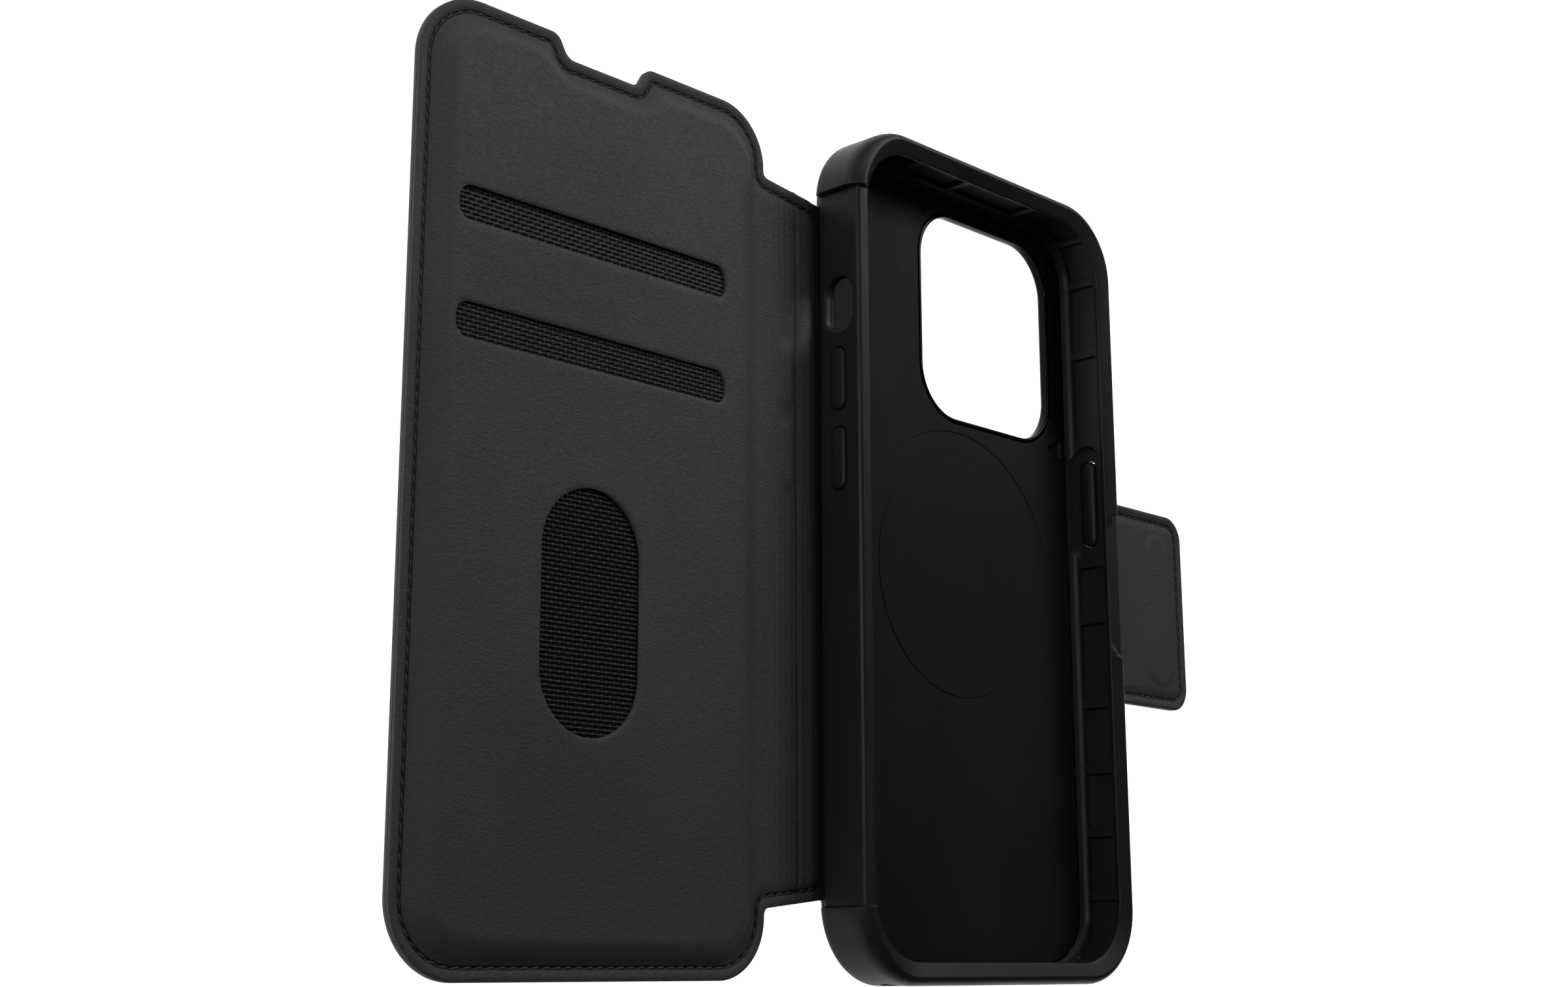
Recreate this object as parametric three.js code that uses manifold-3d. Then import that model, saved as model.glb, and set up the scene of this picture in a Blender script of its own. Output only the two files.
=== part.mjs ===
// Folio wallet case for a slab phone, opened flat: a moulded shell on the right, a leather
// spine and card cover on the left, and a leather latch that folds over the closed cover.
// Millimetres. The case lies on its back: Z = 0 is the outer face of the leather, +Z points
// out of the phone's screen, +Y runs to the camera end and +X runs to the latch.
import * as THREE from "three";
import { mergeVertices } from "three/addons/utils/BufferGeometryUtils.js";
import Module from "manifold-3d";

const wasm = await Module();
wasm.setup();

// ---------------------------------------------------------------- driving dimensions

const PHONE = { width: 70.6, length: 146.6, depth: 8.25, corner: 11 };
const FIT = 0.15; // clearance round the phone and between moulded pieces
const JOIN = 0.3; // clearance round a piece that sits in a cut of its neighbour

const SKIN = { low: 0, high: 0.8 }; // outer leather
const LINING = { low: 0.9, high: 1.5 }; // inner leather, sewn or glued to the outer leather
const FILM = { low: 1.53, high: 1.67 }; // adhesive that holds the shell
// hard back of the shell: its rim steps down to slide under the foot of the bumper's wall
const PLATE = { low: 1.7, high: 2.9, rimHigh: 2.5, rimWidth: 1.9 };
const FOOT_INSET = 1; // how far the foot of the wall reaches into the cavity
const FOLD_Z = LINING.high; // leather folds about its inner face
const FOLD_GAP = 0.15; // each panel stops this far from the fold line

const SHELL = {
  halfWidth: 38.65,
  halfLength: 76.3,
  corner: 14,
  low: 1.7,
  high: 12.85,
  lipLow: 11.25, // underside of the lip, just above the phone's glass
  lipEdge: 11.85, // top of the lip's inner edge
  lipHalfWidth: 35,
  lipHalfLength: 72.4,
  lipCorner: 11.6,
  rimInset: 1.5, // rounded outer edge of the rim
};
const GUARD = { length: 13, step: 1.35, bevel: 1.7 }; // corner guards, proud of the hinge-side wall
const CAVITY = {
  halfWidth: PHONE.width / 2 + FIT,
  halfLength: PHONE.length / 2 + FIT,
  corner: PHONE.corner,
};

const SPINE_FOLD_X = -38.8;
const SPINE_WIDTH = 12.1;
const COVER_FOLD_X = SPINE_FOLD_X - SPINE_WIDTH;
const SPINE = { halfAtShell: 62.3, halfAtCover: 63.7 };

const COVER = { width: 75, halfLength: 75.25, corner: 12 };
const COVER_EDGE_X = COVER_FOLD_X - COVER.width;
const COVER_MID_X = COVER_FOLD_X - COVER.width / 2;
const EARPIECE_NOTCH = { halfTop: 11.3, halfFloor: 7.3, depth: 3.8 };
const PANEL = { inset: 4.2, shoulder: 2.6, high: 3, skin: 0.7 }; // raised middle of the cover
const BOARD = { low: 0.9, high: 1.6, inset: 6.2 };
const CARD = { x: -90.7, width: 57, corner: 2.4, slots: [40.9, 22.3], height: 5.9 };
const WINDOW = { y: -19.4, width: 20.2, length: 39.1 }; // thumb window that pushes a card up
const MESH_BACK = { low: 1.7, high: 1.9, top: 56 };
const MESH_DIVIDER = { low: 2.0, high: 2.2, top: 31 };

const STRAP_FOLD_X = 39.5;
const STRAP_WIDTH = 14.2;
const TAB_FOLD_X = STRAP_FOLD_X + STRAP_WIDTH;
const TAB = { halfWidth: 20.7, end: 77.3, corner: 5 };
const MAGNET = { x: 67.6, width: 8, length: 32, low: 0.66, high: 1.26 };
const CATCH = { low: 0.95, high: 1.55 };
// the catch plate lies under the magnet once the cover and the latch have folded over
const CATCH_X = SPINE_FOLD_X + COVER_FOLD_X - STRAP_FOLD_X + (MAGNET.x - TAB_FOLD_X);

const STITCH = { inset: 2.1, width: 0.45, height: 0.16 };

const CAMERA = { x: 9.85, y: 48.7, halfWidth: 19.45, halfLength: 20.1, corner: 9.5 };
const CAMERA_FLARE = 2.2; // the opening widens by this much on each side at the leather
const TRIM_WALL = 1.1;
const RING = { y: -1.65, outer: 27.4, inner: 23, segments: 16, gap: 0.35 };
const RING_MAGNET = { low: 2.15, high: 2.7 };
const RING_COVER = { low: 2.76, high: PLATE.high };

const KEY_Z = 7.1;
const VOLUME_Z = 6.5;
const KEY = { length: 11.3, height: 3.2 };
const VOLUME_KEYS = { volume_up_key: 28.3, volume_down_key: 13.8 };
const POWER_KEY = { y: 17, length: 17.2, height: 3.4 };
const MUTE = { y: 42, z: 6.8, length: 10.2, height: 6.4 };
const PORT = { width: 14, height: 6.6 };
const SPEAKER = { x: 21, width: 13.5, height: 4.4 };
const RIB = { pitch: 12.1, width: 1.7, depth: 0.7, low: 4.6, high: 10.3 };
const LATCH_NOTCH = { halfOuter: 16, halfInner: 12 };
const EARPIECE_DIP = { x: -1.7, halfWidth: 8.2, depth: 0.5 };
const SPINE_PAD = { x: -45.6, width: 3.8, length: 11.8, rise: 0.4 };
const SPINE_RIB = { pitch: 1.37, count: 8, width: 0.5, depth: 0.22, halfSmooth: 17, smoothY: 23.5 };

const ARC_STEPS = 4;
const RING_STEPS = 24;
const MARGIN = 5; // how far a cutting tool passes the piece it cuts

// ---------------------------------------------------------------- materials

function material(color, roughness, metalness = 0) {
  return new THREE.MeshStandardMaterial({ color, roughness, metalness });
}

const leather = material(0x343436, 0.62);
const lining = material(0x39393b, 0.66);
const mesh = material(0x0e0e10, 0.55);
const thread = material(0x6b6b6d, 0.6);
const board = material(0x8c7a61, 0.9);
const polymer = material(0x1f2023, 0.5);
const plateMaterial = material(0x202225, 0.55);
const glossTrim = material(0x0b0c0e, 0.12);
const keyMaterial = material(0x1c1d20, 0.45);
const steel = material(0x9a9c9f, 0.35, 1);
const film = material(0x5b5b5b, 0.7);

// ---------------------------------------------------------------- solids and cuts

function toSolid(geometry) {
  const bare = geometry.clone();
  bare.deleteAttribute("normal");
  bare.deleteAttribute("uv");
  const merged = mergeVertices(bare, 1e-4);
  const vertProperties = new Float32Array(merged.attributes.position.array);
  const triVerts = new Uint32Array(merged.index.array);
  return new wasm.Manifold(new wasm.Mesh({ numProp: 3, vertProperties, triVerts }));
}

function toGeometry(solid) {
  const { vertProperties, triVerts } = solid.getMesh();
  const geometry = new THREE.BufferGeometry();
  geometry.setAttribute("position", new THREE.Float32BufferAttribute(vertProperties, 3));
  geometry.setIndex(new THREE.Uint32BufferAttribute(triVerts, 1));
  geometry.computeVertexNormals();
  return geometry;
}

function cut(body, ...tools) {
  return toGeometry(tools.reduce((solid, tool) => solid.subtract(toSolid(tool)), toSolid(body)));
}

function join(...pieces) {
  return toGeometry(pieces.map(toSolid).reduce((whole, piece) => whole.add(piece)));
}

function slab(shape, low, high) {
  const geometry = new THREE.ExtrudeGeometry(shape, {
    depth: high - low,
    bevelEnabled: false,
    curveSegments: ARC_STEPS,
  });
  return geometry.translate(0, 0, low);
}

// ---------------------------------------------------------------- outlines

function roundedRectangle({ x = 0, y = 0, halfWidth, halfLength, corner }) {
  const shape = new THREE.Shape();
  const dx = halfWidth - corner;
  const dy = halfLength - corner;
  shape.absarc(x + dx, y + dy, corner, 0, Math.PI / 2);
  shape.absarc(x - dx, y + dy, corner, Math.PI / 2, Math.PI);
  shape.absarc(x - dx, y - dy, corner, Math.PI, 1.5 * Math.PI);
  shape.absarc(x + dx, y - dy, corner, 1.5 * Math.PI, 2 * Math.PI);
  shape.closePath();
  return shape;
}

function stadium(x, y, width, length) {
  const corner = Math.min(width, length) / 2 - 0.001;
  return roundedRectangle({ x, y, halfWidth: width / 2, halfLength: length / 2, corner });
}

function polygon(points) {
  return new THREE.Shape(points.map(([x, y]) => new THREE.Vector2(x, y)));
}

function box(x0, x1, y0, y1, z0, z1) {
  const geometry = new THREE.BoxGeometry(x1 - x0, y1 - y0, z1 - z0);
  return geometry.translate((x0 + x1) / 2, (y0 + y1) / 2, (z0 + z1) / 2);
}

// A solid through a stack of rounded rectangles, one per height, low to high.
function loft(sections) {
  const loops = sections.map((section) => {
    const points = roundedRectangle(section).extractPoints(ARC_STEPS).shape;
    return points.filter((point, i) => i === 0 || point.distanceTo(points[i - 1]) > 1e-6);
  });
  const count = loops[0].length;
  const positions = [];
  const index = [];
  loops.forEach((loop, level) => {
    loop.forEach((point) => positions.push(point.x, point.y, sections[level].z));
  });
  for (let level = 0; level + 1 < loops.length; level += 1) {
    for (let i = 0; i < count; i += 1) {
      const a = level * count + i;
      const b = level * count + ((i + 1) % count);
      index.push(a, b, b + count, a, b + count, a + count);
    }
  }
  const top = (loops.length - 1) * count;
  for (const [a, b, c] of THREE.ShapeUtils.triangulateShape(loops[0], [])) {
    index.push(c, b, a, top + a, top + b, top + c);
  }
  const geometry = new THREE.BufferGeometry();
  geometry.setAttribute("position", new THREE.Float32BufferAttribute(positions, 3));
  geometry.setIndex(index);
  return geometry;
}

// The same rounded rectangle moved in (or out, below zero) by a distance.
function inset(section, distance) {
  return {
    ...section,
    halfWidth: section.halfWidth - distance,
    halfLength: section.halfLength - distance,
    corner: section.corner - distance,
  };
}

// A prism along X with a stadium section, for what passes through a side wall.
function sidePrism(x0, x1, y, z, length, height) {
  const geometry = slab(stadium(0, 0, height, length), 0, x1 - x0);
  return geometry.rotateY(Math.PI / 2).translate(x0, y, z);
}

// A prism along Y with a stadium section, for what passes through an end wall.
function endPrism(y0, y1, x, z, width, height) {
  const geometry = slab(stadium(0, 0, width, height), 0, y1 - y0);
  return geometry.rotateX(Math.PI / 2).translate(x, y1, z);
}

// ---------------------------------------------------------------- shell

const shellOutline = {
  halfWidth: SHELL.halfWidth,
  halfLength: SHELL.halfLength,
  corner: SHELL.corner,
};
const lipOutline = {
  halfWidth: SHELL.lipHalfWidth,
  halfLength: SHELL.lipHalfLength,
  corner: SHELL.lipCorner,
};
const plateOutline = {
  halfWidth: CAVITY.halfWidth + 0.6,
  halfLength: CAVITY.halfLength + 0.6,
  corner: CAVITY.corner + 0.6,
};
const cameraOutline = {
  x: CAMERA.x,
  y: CAMERA.y,
  halfWidth: CAMERA.halfWidth,
  halfLength: CAMERA.halfLength,
  corner: CAMERA.corner,
};

function bumperBlank() {
  return loft([
    { z: SHELL.low, ...inset(shellOutline, 1.6) },
    { z: SHELL.low + 0.5, ...inset(shellOutline, 0.8) },
    { z: SHELL.low + 1.6, ...shellOutline },
    { z: SHELL.high - 1.9, ...shellOutline },
    { z: SHELL.high - 0.9, ...inset(shellOutline, 0.4) },
    { z: SHELL.high - 0.25, ...inset(shellOutline, 1) },
    { z: SHELL.high, ...inset(shellOutline, SHELL.rimInset) },
  ]);
}

function phoneCavity() {
  return loft([
    { z: PLATE.rimHigh, ...inset(CAVITY, FOOT_INSET) },
    { z: PLATE.high, ...inset(CAVITY, FOOT_INSET) },
    { z: PLATE.high + 0.5, ...inset(CAVITY, FOOT_INSET / 2) },
    { z: PLATE.high + 1.4, ...CAVITY },
    { z: SHELL.lipLow - 0.5, ...CAVITY },
    { z: SHELL.lipLow, ...lipOutline },
    { z: SHELL.lipEdge, ...lipOutline },
    { z: SHELL.high + 0.01, ...inset(shellOutline, SHELL.rimInset) },
    { z: SHELL.high + MARGIN, ...inset(shellOutline, SHELL.rimInset) },
  ]);
}

function plateSeat() {
  return loft([
    { z: SHELL.low - MARGIN, ...inset(plateOutline, -FIT) },
    { z: PLATE.rimHigh + JOIN, ...inset(plateOutline, -FIT) },
  ]);
}

// The hinge-side wall is set back between the two corner guards, with a bevelled top edge.
function hingeSideRecess() {
  const wallX = -SHELL.halfWidth + GUARD.step;
  const half = SHELL.halfLength - GUARD.length;
  const recess = box(wallX - MARGIN, wallX, -half, half, 0, SHELL.high + MARGIN);
  const bevel = slab(
    polygon([
      [wallX - MARGIN, SHELL.high + MARGIN],
      [wallX - MARGIN, SHELL.high - GUARD.bevel],
      [wallX, SHELL.high - GUARD.bevel],
      [wallX + 0.45, SHELL.high - GUARD.bevel + 0.75],
      [wallX + GUARD.bevel * 1.1, SHELL.high + 0.1],
      [wallX + GUARD.bevel * 1.1, SHELL.high + MARGIN],
    ]),
    -half,
    half,
  ).rotateX(Math.PI / 2);
  return [recess, bevel];
}

// Shallow cushioning pockets in the inner side walls leave narrow upright ribs between them.
function ribPockets() {
  const pockets = [];
  const reach = CAVITY.halfLength - PHONE.corner - 1;
  const count = Math.floor((2 * reach) / RIB.pitch);
  const start = -(count * RIB.pitch) / 2;
  for (let i = 0; i < count; i += 1) {
    const y0 = start + i * RIB.pitch + RIB.width / 2;
    const y1 = start + (i + 1) * RIB.pitch - RIB.width / 2;
    const meetsPower = y1 > POWER_KEY.y - 12 && y0 < POWER_KEY.y + 12;
    if (!meetsPower) {
      pockets.push(box(CAVITY.halfWidth - 2, CAVITY.halfWidth + RIB.depth, y0, y1, RIB.low, RIB.high));
    }
  }
  for (const side of [-1, 1]) {
    for (let i = -1; i <= 1; i += 1) {
      const x = 2 * i * RIB.pitch * 0.82;
      const y = side * CAVITY.halfLength;
      const clearOfPorts = side > 0;
      if (clearOfPorts) {
        pockets.push(box(x - 8, x + 8, y - 2, y + RIB.depth, RIB.low, RIB.high));
      }
    }
  }
  return pockets;
}

function keyOpenings() {
  const inner = CAVITY.halfWidth - 1;
  const outer = SHELL.halfWidth + 1;
  const volume = Object.values(VOLUME_KEYS).map((y) => (
    sidePrism(-outer, -inner, y, VOLUME_Z, KEY.length + 2 * JOIN, KEY.height + 2 * JOIN)
  ));
  const power = sidePrism(
    inner, outer, POWER_KEY.y, KEY_Z, POWER_KEY.length + 2 * JOIN, POWER_KEY.height + 2 * JOIN,
  );
  const powerPocket = box(
    inner, CAVITY.halfWidth + RIB.depth, POWER_KEY.y - 11.5, POWER_KEY.y + 11.5, RIB.low, RIB.high,
  );
  const mute = sidePrism(-outer, -inner, MUTE.y, MUTE.z, MUTE.length, MUTE.height);
  return [...volume, power, powerPocket, mute];
}

function endOpenings() {
  const y0 = -SHELL.halfLength - 1;
  const y1 = -CAVITY.halfLength + 2;
  return [
    endPrism(y0, y1, 0, KEY_Z, PORT.width, PORT.height),
    endPrism(y0, y1, SPEAKER.x, KEY_Z, SPEAKER.width, SPEAKER.height),
    endPrism(y0, y1, -SPEAKER.x, KEY_Z, SPEAKER.width, SPEAKER.height),
  ];
}

// The latch side of the rim drops level with the lip's inner edge where the strap crosses it.
function latchNotch() {
  const inner = SHELL.lipHalfWidth - 1;
  const outer = SHELL.halfWidth + 1;
  const shape = polygon([
    [inner, -LATCH_NOTCH.halfInner],
    [outer, -LATCH_NOTCH.halfOuter],
    [outer, LATCH_NOTCH.halfOuter],
    [inner, LATCH_NOTCH.halfInner],
  ]);
  return slab(shape, SHELL.lipEdge, SHELL.high + MARGIN);
}

function earpieceDip() {
  const y = SHELL.halfLength;
  const half = EARPIECE_DIP.halfWidth;
  const shape = polygon([
    [EARPIECE_DIP.x - half, y - 6],
    [EARPIECE_DIP.x + half, y - 6],
    [EARPIECE_DIP.x + half + 1, y + 1],
    [EARPIECE_DIP.x - half - 1, y + 1],
  ]);
  return slab(shape, SHELL.high - EARPIECE_DIP.depth, SHELL.high + MARGIN);
}

function shellBumper() {
  return cut(
    bumperBlank(),
    phoneCavity(),
    plateSeat(),
    ...hingeSideRecess(),
    ...ribPockets(),
    ...keyOpenings(),
    ...endOpenings(),
    latchNotch(),
    earpieceDip(),
  );
}

// Camera opening: narrow at the plate and wider at the leather.
function cameraOpening(clearance, low, high) {
  const slope = CAMERA_FLARE / PLATE.high;
  const widen = (z) => slope * (PLATE.high - z) + clearance;
  return loft([
    { z: low, ...inset(cameraOutline, -widen(low)) },
    { z: high, ...inset(cameraOutline, -widen(high)) },
  ]);
}

function annulus(y, outer, inner) {
  const shape = new THREE.Shape();
  shape.absarc(0, y, outer, 0, 2 * Math.PI);
  const hole = new THREE.Path();
  hole.absarc(0, y, inner, 0, 2 * Math.PI, true);
  shape.holes.push(hole);
  return shape;
}

function ringSlab(outer, inner, low, high) {
  return new THREE.ExtrudeGeometry(annulus(RING.y, outer, inner), {
    depth: high - low,
    bevelEnabled: false,
    curveSegments: RING_STEPS,
  }).translate(0, 0, low);
}

function shellBackPlate() {
  const blank = join(
    slab(roundedRectangle(plateOutline), PLATE.low, PLATE.rimHigh),
    slab(roundedRectangle(inset(plateOutline, PLATE.rimWidth)), PLATE.low, PLATE.high),
  );
  const groove = ringSlab(RING.outer + FIT, RING.inner - FIT, RING_MAGNET.low - 0.05, PLATE.high + 1);
  return cut(blank, groove, cameraOpening(TRIM_WALL + JOIN / 2, PLATE.low - 1, PLATE.high + 1));
}

function cameraTrim() {
  const outer = cameraOpening(TRIM_WALL, 0.05, PLATE.high);
  return cut(outer, cameraOpening(0, -0.2, PLATE.high + 0.2));
}

// One flat magnet: a slice of the ring with a small gap to the next slice.
function ringMagnet(i) {
  const middle = (RING.outer + RING.inner) / 2;
  const halfSlice = Math.PI / RING.segments - RING.gap / middle;
  const angle = (2 * Math.PI * i) / RING.segments;
  const shape = new THREE.Shape();
  shape.absarc(0, RING.y, RING.outer - 0.1, angle - halfSlice, angle + halfSlice);
  shape.absarc(0, RING.y, RING.inner + 0.1, angle + halfSlice, angle - halfSlice, true);
  shape.closePath();
  const slice = new THREE.ExtrudeGeometry(shape, {
    depth: RING_MAGNET.high - RING_MAGNET.low,
    bevelEnabled: false,
    curveSegments: 2,
  });
  return slice.translate(0, 0, RING_MAGNET.low);
}

function ringCover() {
  return ringSlab(RING.outer, RING.inner, RING_COVER.low, RING_COVER.high);
}

// ---------------------------------------------------------------- keys

// A cap stands proud of the wall, and its foot faces the phone's own button.
function sideKey(side, wallX, y, z, length, height) {
  const proud = 0.5;
  const cap = sidePrism(0.9, wallX + proud - CAVITY.halfWidth, 0, 0, length, height);
  const foot = sidePrism(0.25, 1, 0, 0, length - 2.4, height - 1.2);
  const key = join(cap, foot).translate(CAVITY.halfWidth, 0, 0);
  if (side < 0) {
    key.rotateZ(Math.PI);
  }
  return key.translate(0, y, z);
}

// ---------------------------------------------------------------- leather under the shell

const backOutline = inset(shellOutline, 1.1);

function backPanel(low, high) {
  const panel = slab(roundedRectangle(backOutline), low, high);
  const neckX = SPINE_FOLD_X + FOLD_GAP;
  const neck = slab(
    polygon([
      [neckX, -SPINE.halfAtShell],
      [-20, -SPINE.halfAtShell],
      [-20, SPINE.halfAtShell],
      [neckX, SPINE.halfAtShell],
    ]),
    low,
    high,
  );
  const strapX = STRAP_FOLD_X - FOLD_GAP;
  const tail = box(20, strapX, -TAB.halfWidth, TAB.halfWidth, low, high);
  return join(panel, neck, tail);
}

function backLeather(low, high) {
  return cut(backPanel(low, high), cameraOpening(TRIM_WALL + JOIN / 2, low - 0.5, high + 0.5));
}

function bondingFilm() {
  const blank = slab(roundedRectangle(inset(plateOutline, 1.5)), FILM.low, FILM.high);
  const opening = cameraOpening(TRIM_WALL + JOIN, FILM.low - 0.5, FILM.high + 0.5);
  return cut(blank, opening);
}

// ---------------------------------------------------------------- spine

function spineOutline(margin) {
  const slope = (SPINE.halfAtCover - SPINE.halfAtShell) / SPINE_WIDTH;
  const right = SPINE_FOLD_X - FOLD_GAP;
  const left = COVER_FOLD_X + FOLD_GAP;
  const halfRight = SPINE.halfAtShell - margin;
  const halfLeft = SPINE.halfAtShell - margin + slope * (right - left);
  return polygon([
    [left, -halfLeft],
    [right, -halfRight],
    [right, halfRight],
    [left, halfLeft],
  ]);
}

// Embossed crease lines run the length of the spine and stop short of the two key pads.
function spineLining() {
  const blank = slab(spineOutline(0), LINING.low, LINING.high);
  const creases = [];
  const middle = (SPINE_FOLD_X + COVER_FOLD_X) / 2;
  const smoothLow = SPINE_RIB.smoothY - SPINE_RIB.halfSmooth;
  const smoothHigh = SPINE_RIB.smoothY + SPINE_RIB.halfSmooth;
  for (let i = 0; i < SPINE_RIB.count; i += 1) {
    const x = middle + (i - (SPINE_RIB.count - 1) / 2) * SPINE_RIB.pitch;
    const half = SPINE_RIB.width / 2;
    const floor = LINING.high - SPINE_RIB.depth;
    creases.push(box(x - half, x + half, smoothHigh, SPINE.halfAtShell - 3, floor, LINING.high + 1));
    creases.push(box(x - half, x + half, 3 - SPINE.halfAtShell, smoothLow, floor, LINING.high + 1));
  }
  return cut(blank, ...creases);
}

function spinePad(y) {
  const shape = stadium(SPINE_PAD.x, y, SPINE_PAD.width, SPINE_PAD.length);
  return slab(shape, LINING.high + 0.02, LINING.high + SPINE_PAD.rise);
}

// ---------------------------------------------------------------- stitching

// A flat run of thread between two points that lies on the lining.
function threadRun(from, to) {
  const a = new THREE.Vector2(...from);
  const b = new THREE.Vector2(...to);
  const run = box(0, a.distanceTo(b), -STITCH.width / 2, STITCH.width / 2, 0, STITCH.height);
  return run.rotateZ(b.sub(a).angle()).translate(a.x, a.y, LINING.high + 0.02);
}

function spineThread(side) {
  const slope = (SPINE.halfAtCover - SPINE.halfAtShell) / SPINE_WIDTH;
  const right = SPINE_FOLD_X - 1;
  const left = COVER_FOLD_X + 1;
  const halfRight = SPINE.halfAtShell - STITCH.inset + slope;
  const halfLeft = SPINE.halfAtCover - STITCH.inset - slope;
  return threadRun([left, side * halfLeft], [right, side * halfRight]);
}

// ---------------------------------------------------------------- cover

const coverOutline = {
  x: COVER_MID_X - FOLD_GAP / 2,
  halfWidth: (COVER.width - FOLD_GAP) / 2,
  halfLength: COVER.halfLength,
  corner: COVER.corner,
};

function earpieceNotch(margin, low, high) {
  const top = COVER.halfLength + 1;
  const floor = COVER.halfLength - EARPIECE_NOTCH.depth - margin;
  const slope = (EARPIECE_NOTCH.halfTop - EARPIECE_NOTCH.halfFloor) / EARPIECE_NOTCH.depth;
  const halfFloor = EARPIECE_NOTCH.halfFloor + margin * 0.6;
  const halfTop = halfFloor + slope * (top - floor);
  const shape = polygon([
    [COVER_MID_X - halfFloor, floor],
    [COVER_MID_X + halfFloor, floor],
    [COVER_MID_X + halfTop, top],
    [COVER_MID_X - halfTop, top],
  ]);
  return slab(shape, low, high);
}

function coverOuterLeather() {
  const blank = slab(roundedRectangle(coverOutline), SKIN.low, SKIN.high);
  return cut(blank, earpieceNotch(0, SKIN.low - 1, SKIN.high + 1));
}

// The raised panel holds the board and the card pocket and stands above the sewn edge.
function raisedPanel() {
  return loft([
    { z: LINING.low, ...inset(coverOutline, PANEL.inset) },
    { z: LINING.high, ...inset(coverOutline, PANEL.inset) },
    { z: LINING.high + 0.5, ...inset(coverOutline, PANEL.inset + 0.35) },
    { z: LINING.high + 1.1, ...inset(coverOutline, PANEL.inset + 1.1) },
    { z: PANEL.high, ...inset(coverOutline, PANEL.inset + PANEL.shoulder) },
  ]);
}

function pocketSpace() {
  const space = loft([
    { z: LINING.low - MARGIN, ...inset(coverOutline, BOARD.inset - JOIN) },
    { z: PANEL.high - PANEL.skin, ...inset(coverOutline, BOARD.inset - JOIN) },
  ]);
  return cut(space, earpieceNotch(BOARD.inset - JOIN, -2 * MARGIN, MARGIN));
}

function cardSlots() {
  return CARD.slots.map((y) => slab(
    roundedRectangle({
      x: CARD.x,
      y,
      halfWidth: CARD.width / 2,
      halfLength: CARD.height / 2,
      corner: CARD.corner,
    }),
    LINING.high,
    PANEL.high + MARGIN,
  ));
}

function thumbWindow() {
  return slab(stadium(CARD.x, WINDOW.y, WINDOW.width, WINDOW.length), LINING.high, PANEL.high + MARGIN);
}

function coverLining() {
  const flange = slab(roundedRectangle(coverOutline), LINING.low, LINING.high);
  const panel = cut(raisedPanel(), earpieceNotch(PANEL.inset, LINING.high, PANEL.high + 1));
  return cut(
    join(flange, panel),
    pocketSpace(),
    ...cardSlots(),
    thumbWindow(),
    earpieceNotch(0, LINING.low - 1, LINING.high + 1),
  );
}

function catchShape(margin) {
  return stadium(CATCH_X, 0, MAGNET.width + 2 * margin, MAGNET.length + 2 * margin);
}

function stiffenerBoard() {
  const blank = slab(roundedRectangle(inset(coverOutline, BOARD.inset)), BOARD.low, BOARD.high);
  const catchHole = slab(catchShape(JOIN), BOARD.low - 1, BOARD.high + 1);
  return cut(blank, catchHole, earpieceNotch(BOARD.inset, BOARD.low - 1, BOARD.high + 1));
}

function catchPlate() {
  return slab(catchShape(0), CATCH.low, CATCH.high);
}

// Woven sheets behind the card slots; the divider keeps the two cards apart.
function pocketMesh({ low, high, top }) {
  const bottom = -COVER.halfLength + BOARD.inset + 2;
  const shape = roundedRectangle({
    x: COVER_MID_X,
    y: (top + bottom) / 2,
    halfWidth: COVER.width / 2 - BOARD.inset - 0.5,
    halfLength: (top - bottom) / 2,
    corner: 3,
  });
  return slab(shape, low, high);
}

function coverThread() {
  const half = STITCH.width / 2;
  const low = LINING.high + 0.02;
  const band = cut(
    slab(roundedRectangle(inset(coverOutline, STITCH.inset - half)), low, low + STITCH.height),
    slab(roundedRectangle(inset(coverOutline, STITCH.inset + half)), 0, low + MARGIN),
  );
  const notched = cut(band, earpieceNotch(STITCH.inset + half, 0, MARGIN));
  const notchBand = cut(
    earpieceNotch(STITCH.inset + half, low, low + STITCH.height),
    earpieceNotch(STITCH.inset - half, 0, MARGIN),
    box(
      COVER_EDGE_X, COVER_FOLD_X,
      COVER.halfLength - STITCH.inset + half, COVER.halfLength + MARGIN, 0, MARGIN,
    ),
  );
  const spineGap = box(
    COVER_FOLD_X - STITCH.inset - 1, COVER_FOLD_X + 1,
    STITCH.inset - SPINE.halfAtCover, SPINE.halfAtCover - STITCH.inset, 0, MARGIN,
  );
  return cut(join(notched, notchBand), spineGap);
}

// ---------------------------------------------------------------- latch

function tabShape(margin) {
  const left = TAB_FOLD_X + FOLD_GAP + (margin > 0 ? 1 : 0);
  const right = TAB.end - margin;
  const half = TAB.halfWidth - margin;
  const corner = TAB.corner - margin;
  const shape = new THREE.Shape();
  shape.moveTo(left, -half);
  shape.lineTo(right - corner, -half);
  shape.absarc(right - corner, -half + corner, corner, -Math.PI / 2, 0);
  shape.absarc(right - corner, half - corner, corner, 0, Math.PI / 2);
  shape.lineTo(left, half);
  shape.closePath();
  return shape;
}

function strapSlab(low, high) {
  const left = STRAP_FOLD_X + FOLD_GAP;
  const right = TAB_FOLD_X - FOLD_GAP;
  return box(left, right, -TAB.halfWidth, TAB.halfWidth, low, high);
}

function magnetShape(margin) {
  return stadium(MAGNET.x, 0, MAGNET.width + 2 * margin, MAGNET.length + 2 * margin);
}

function tabOuterLeather() {
  const recess = slab(magnetShape(JOIN), MAGNET.low - 0.05, SKIN.high + 1);
  return cut(slab(tabShape(0), SKIN.low, SKIN.high), recess);
}

function tabLining() {
  const flat = slab(tabShape(0), LINING.low, LINING.high);
  const bump = slab(magnetShape(0.9), LINING.low, LINING.high + 0.25);
  const recess = slab(magnetShape(JOIN), LINING.low - 1, MAGNET.high + 0.05);
  return cut(join(flat, bump), recess);
}

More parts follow.
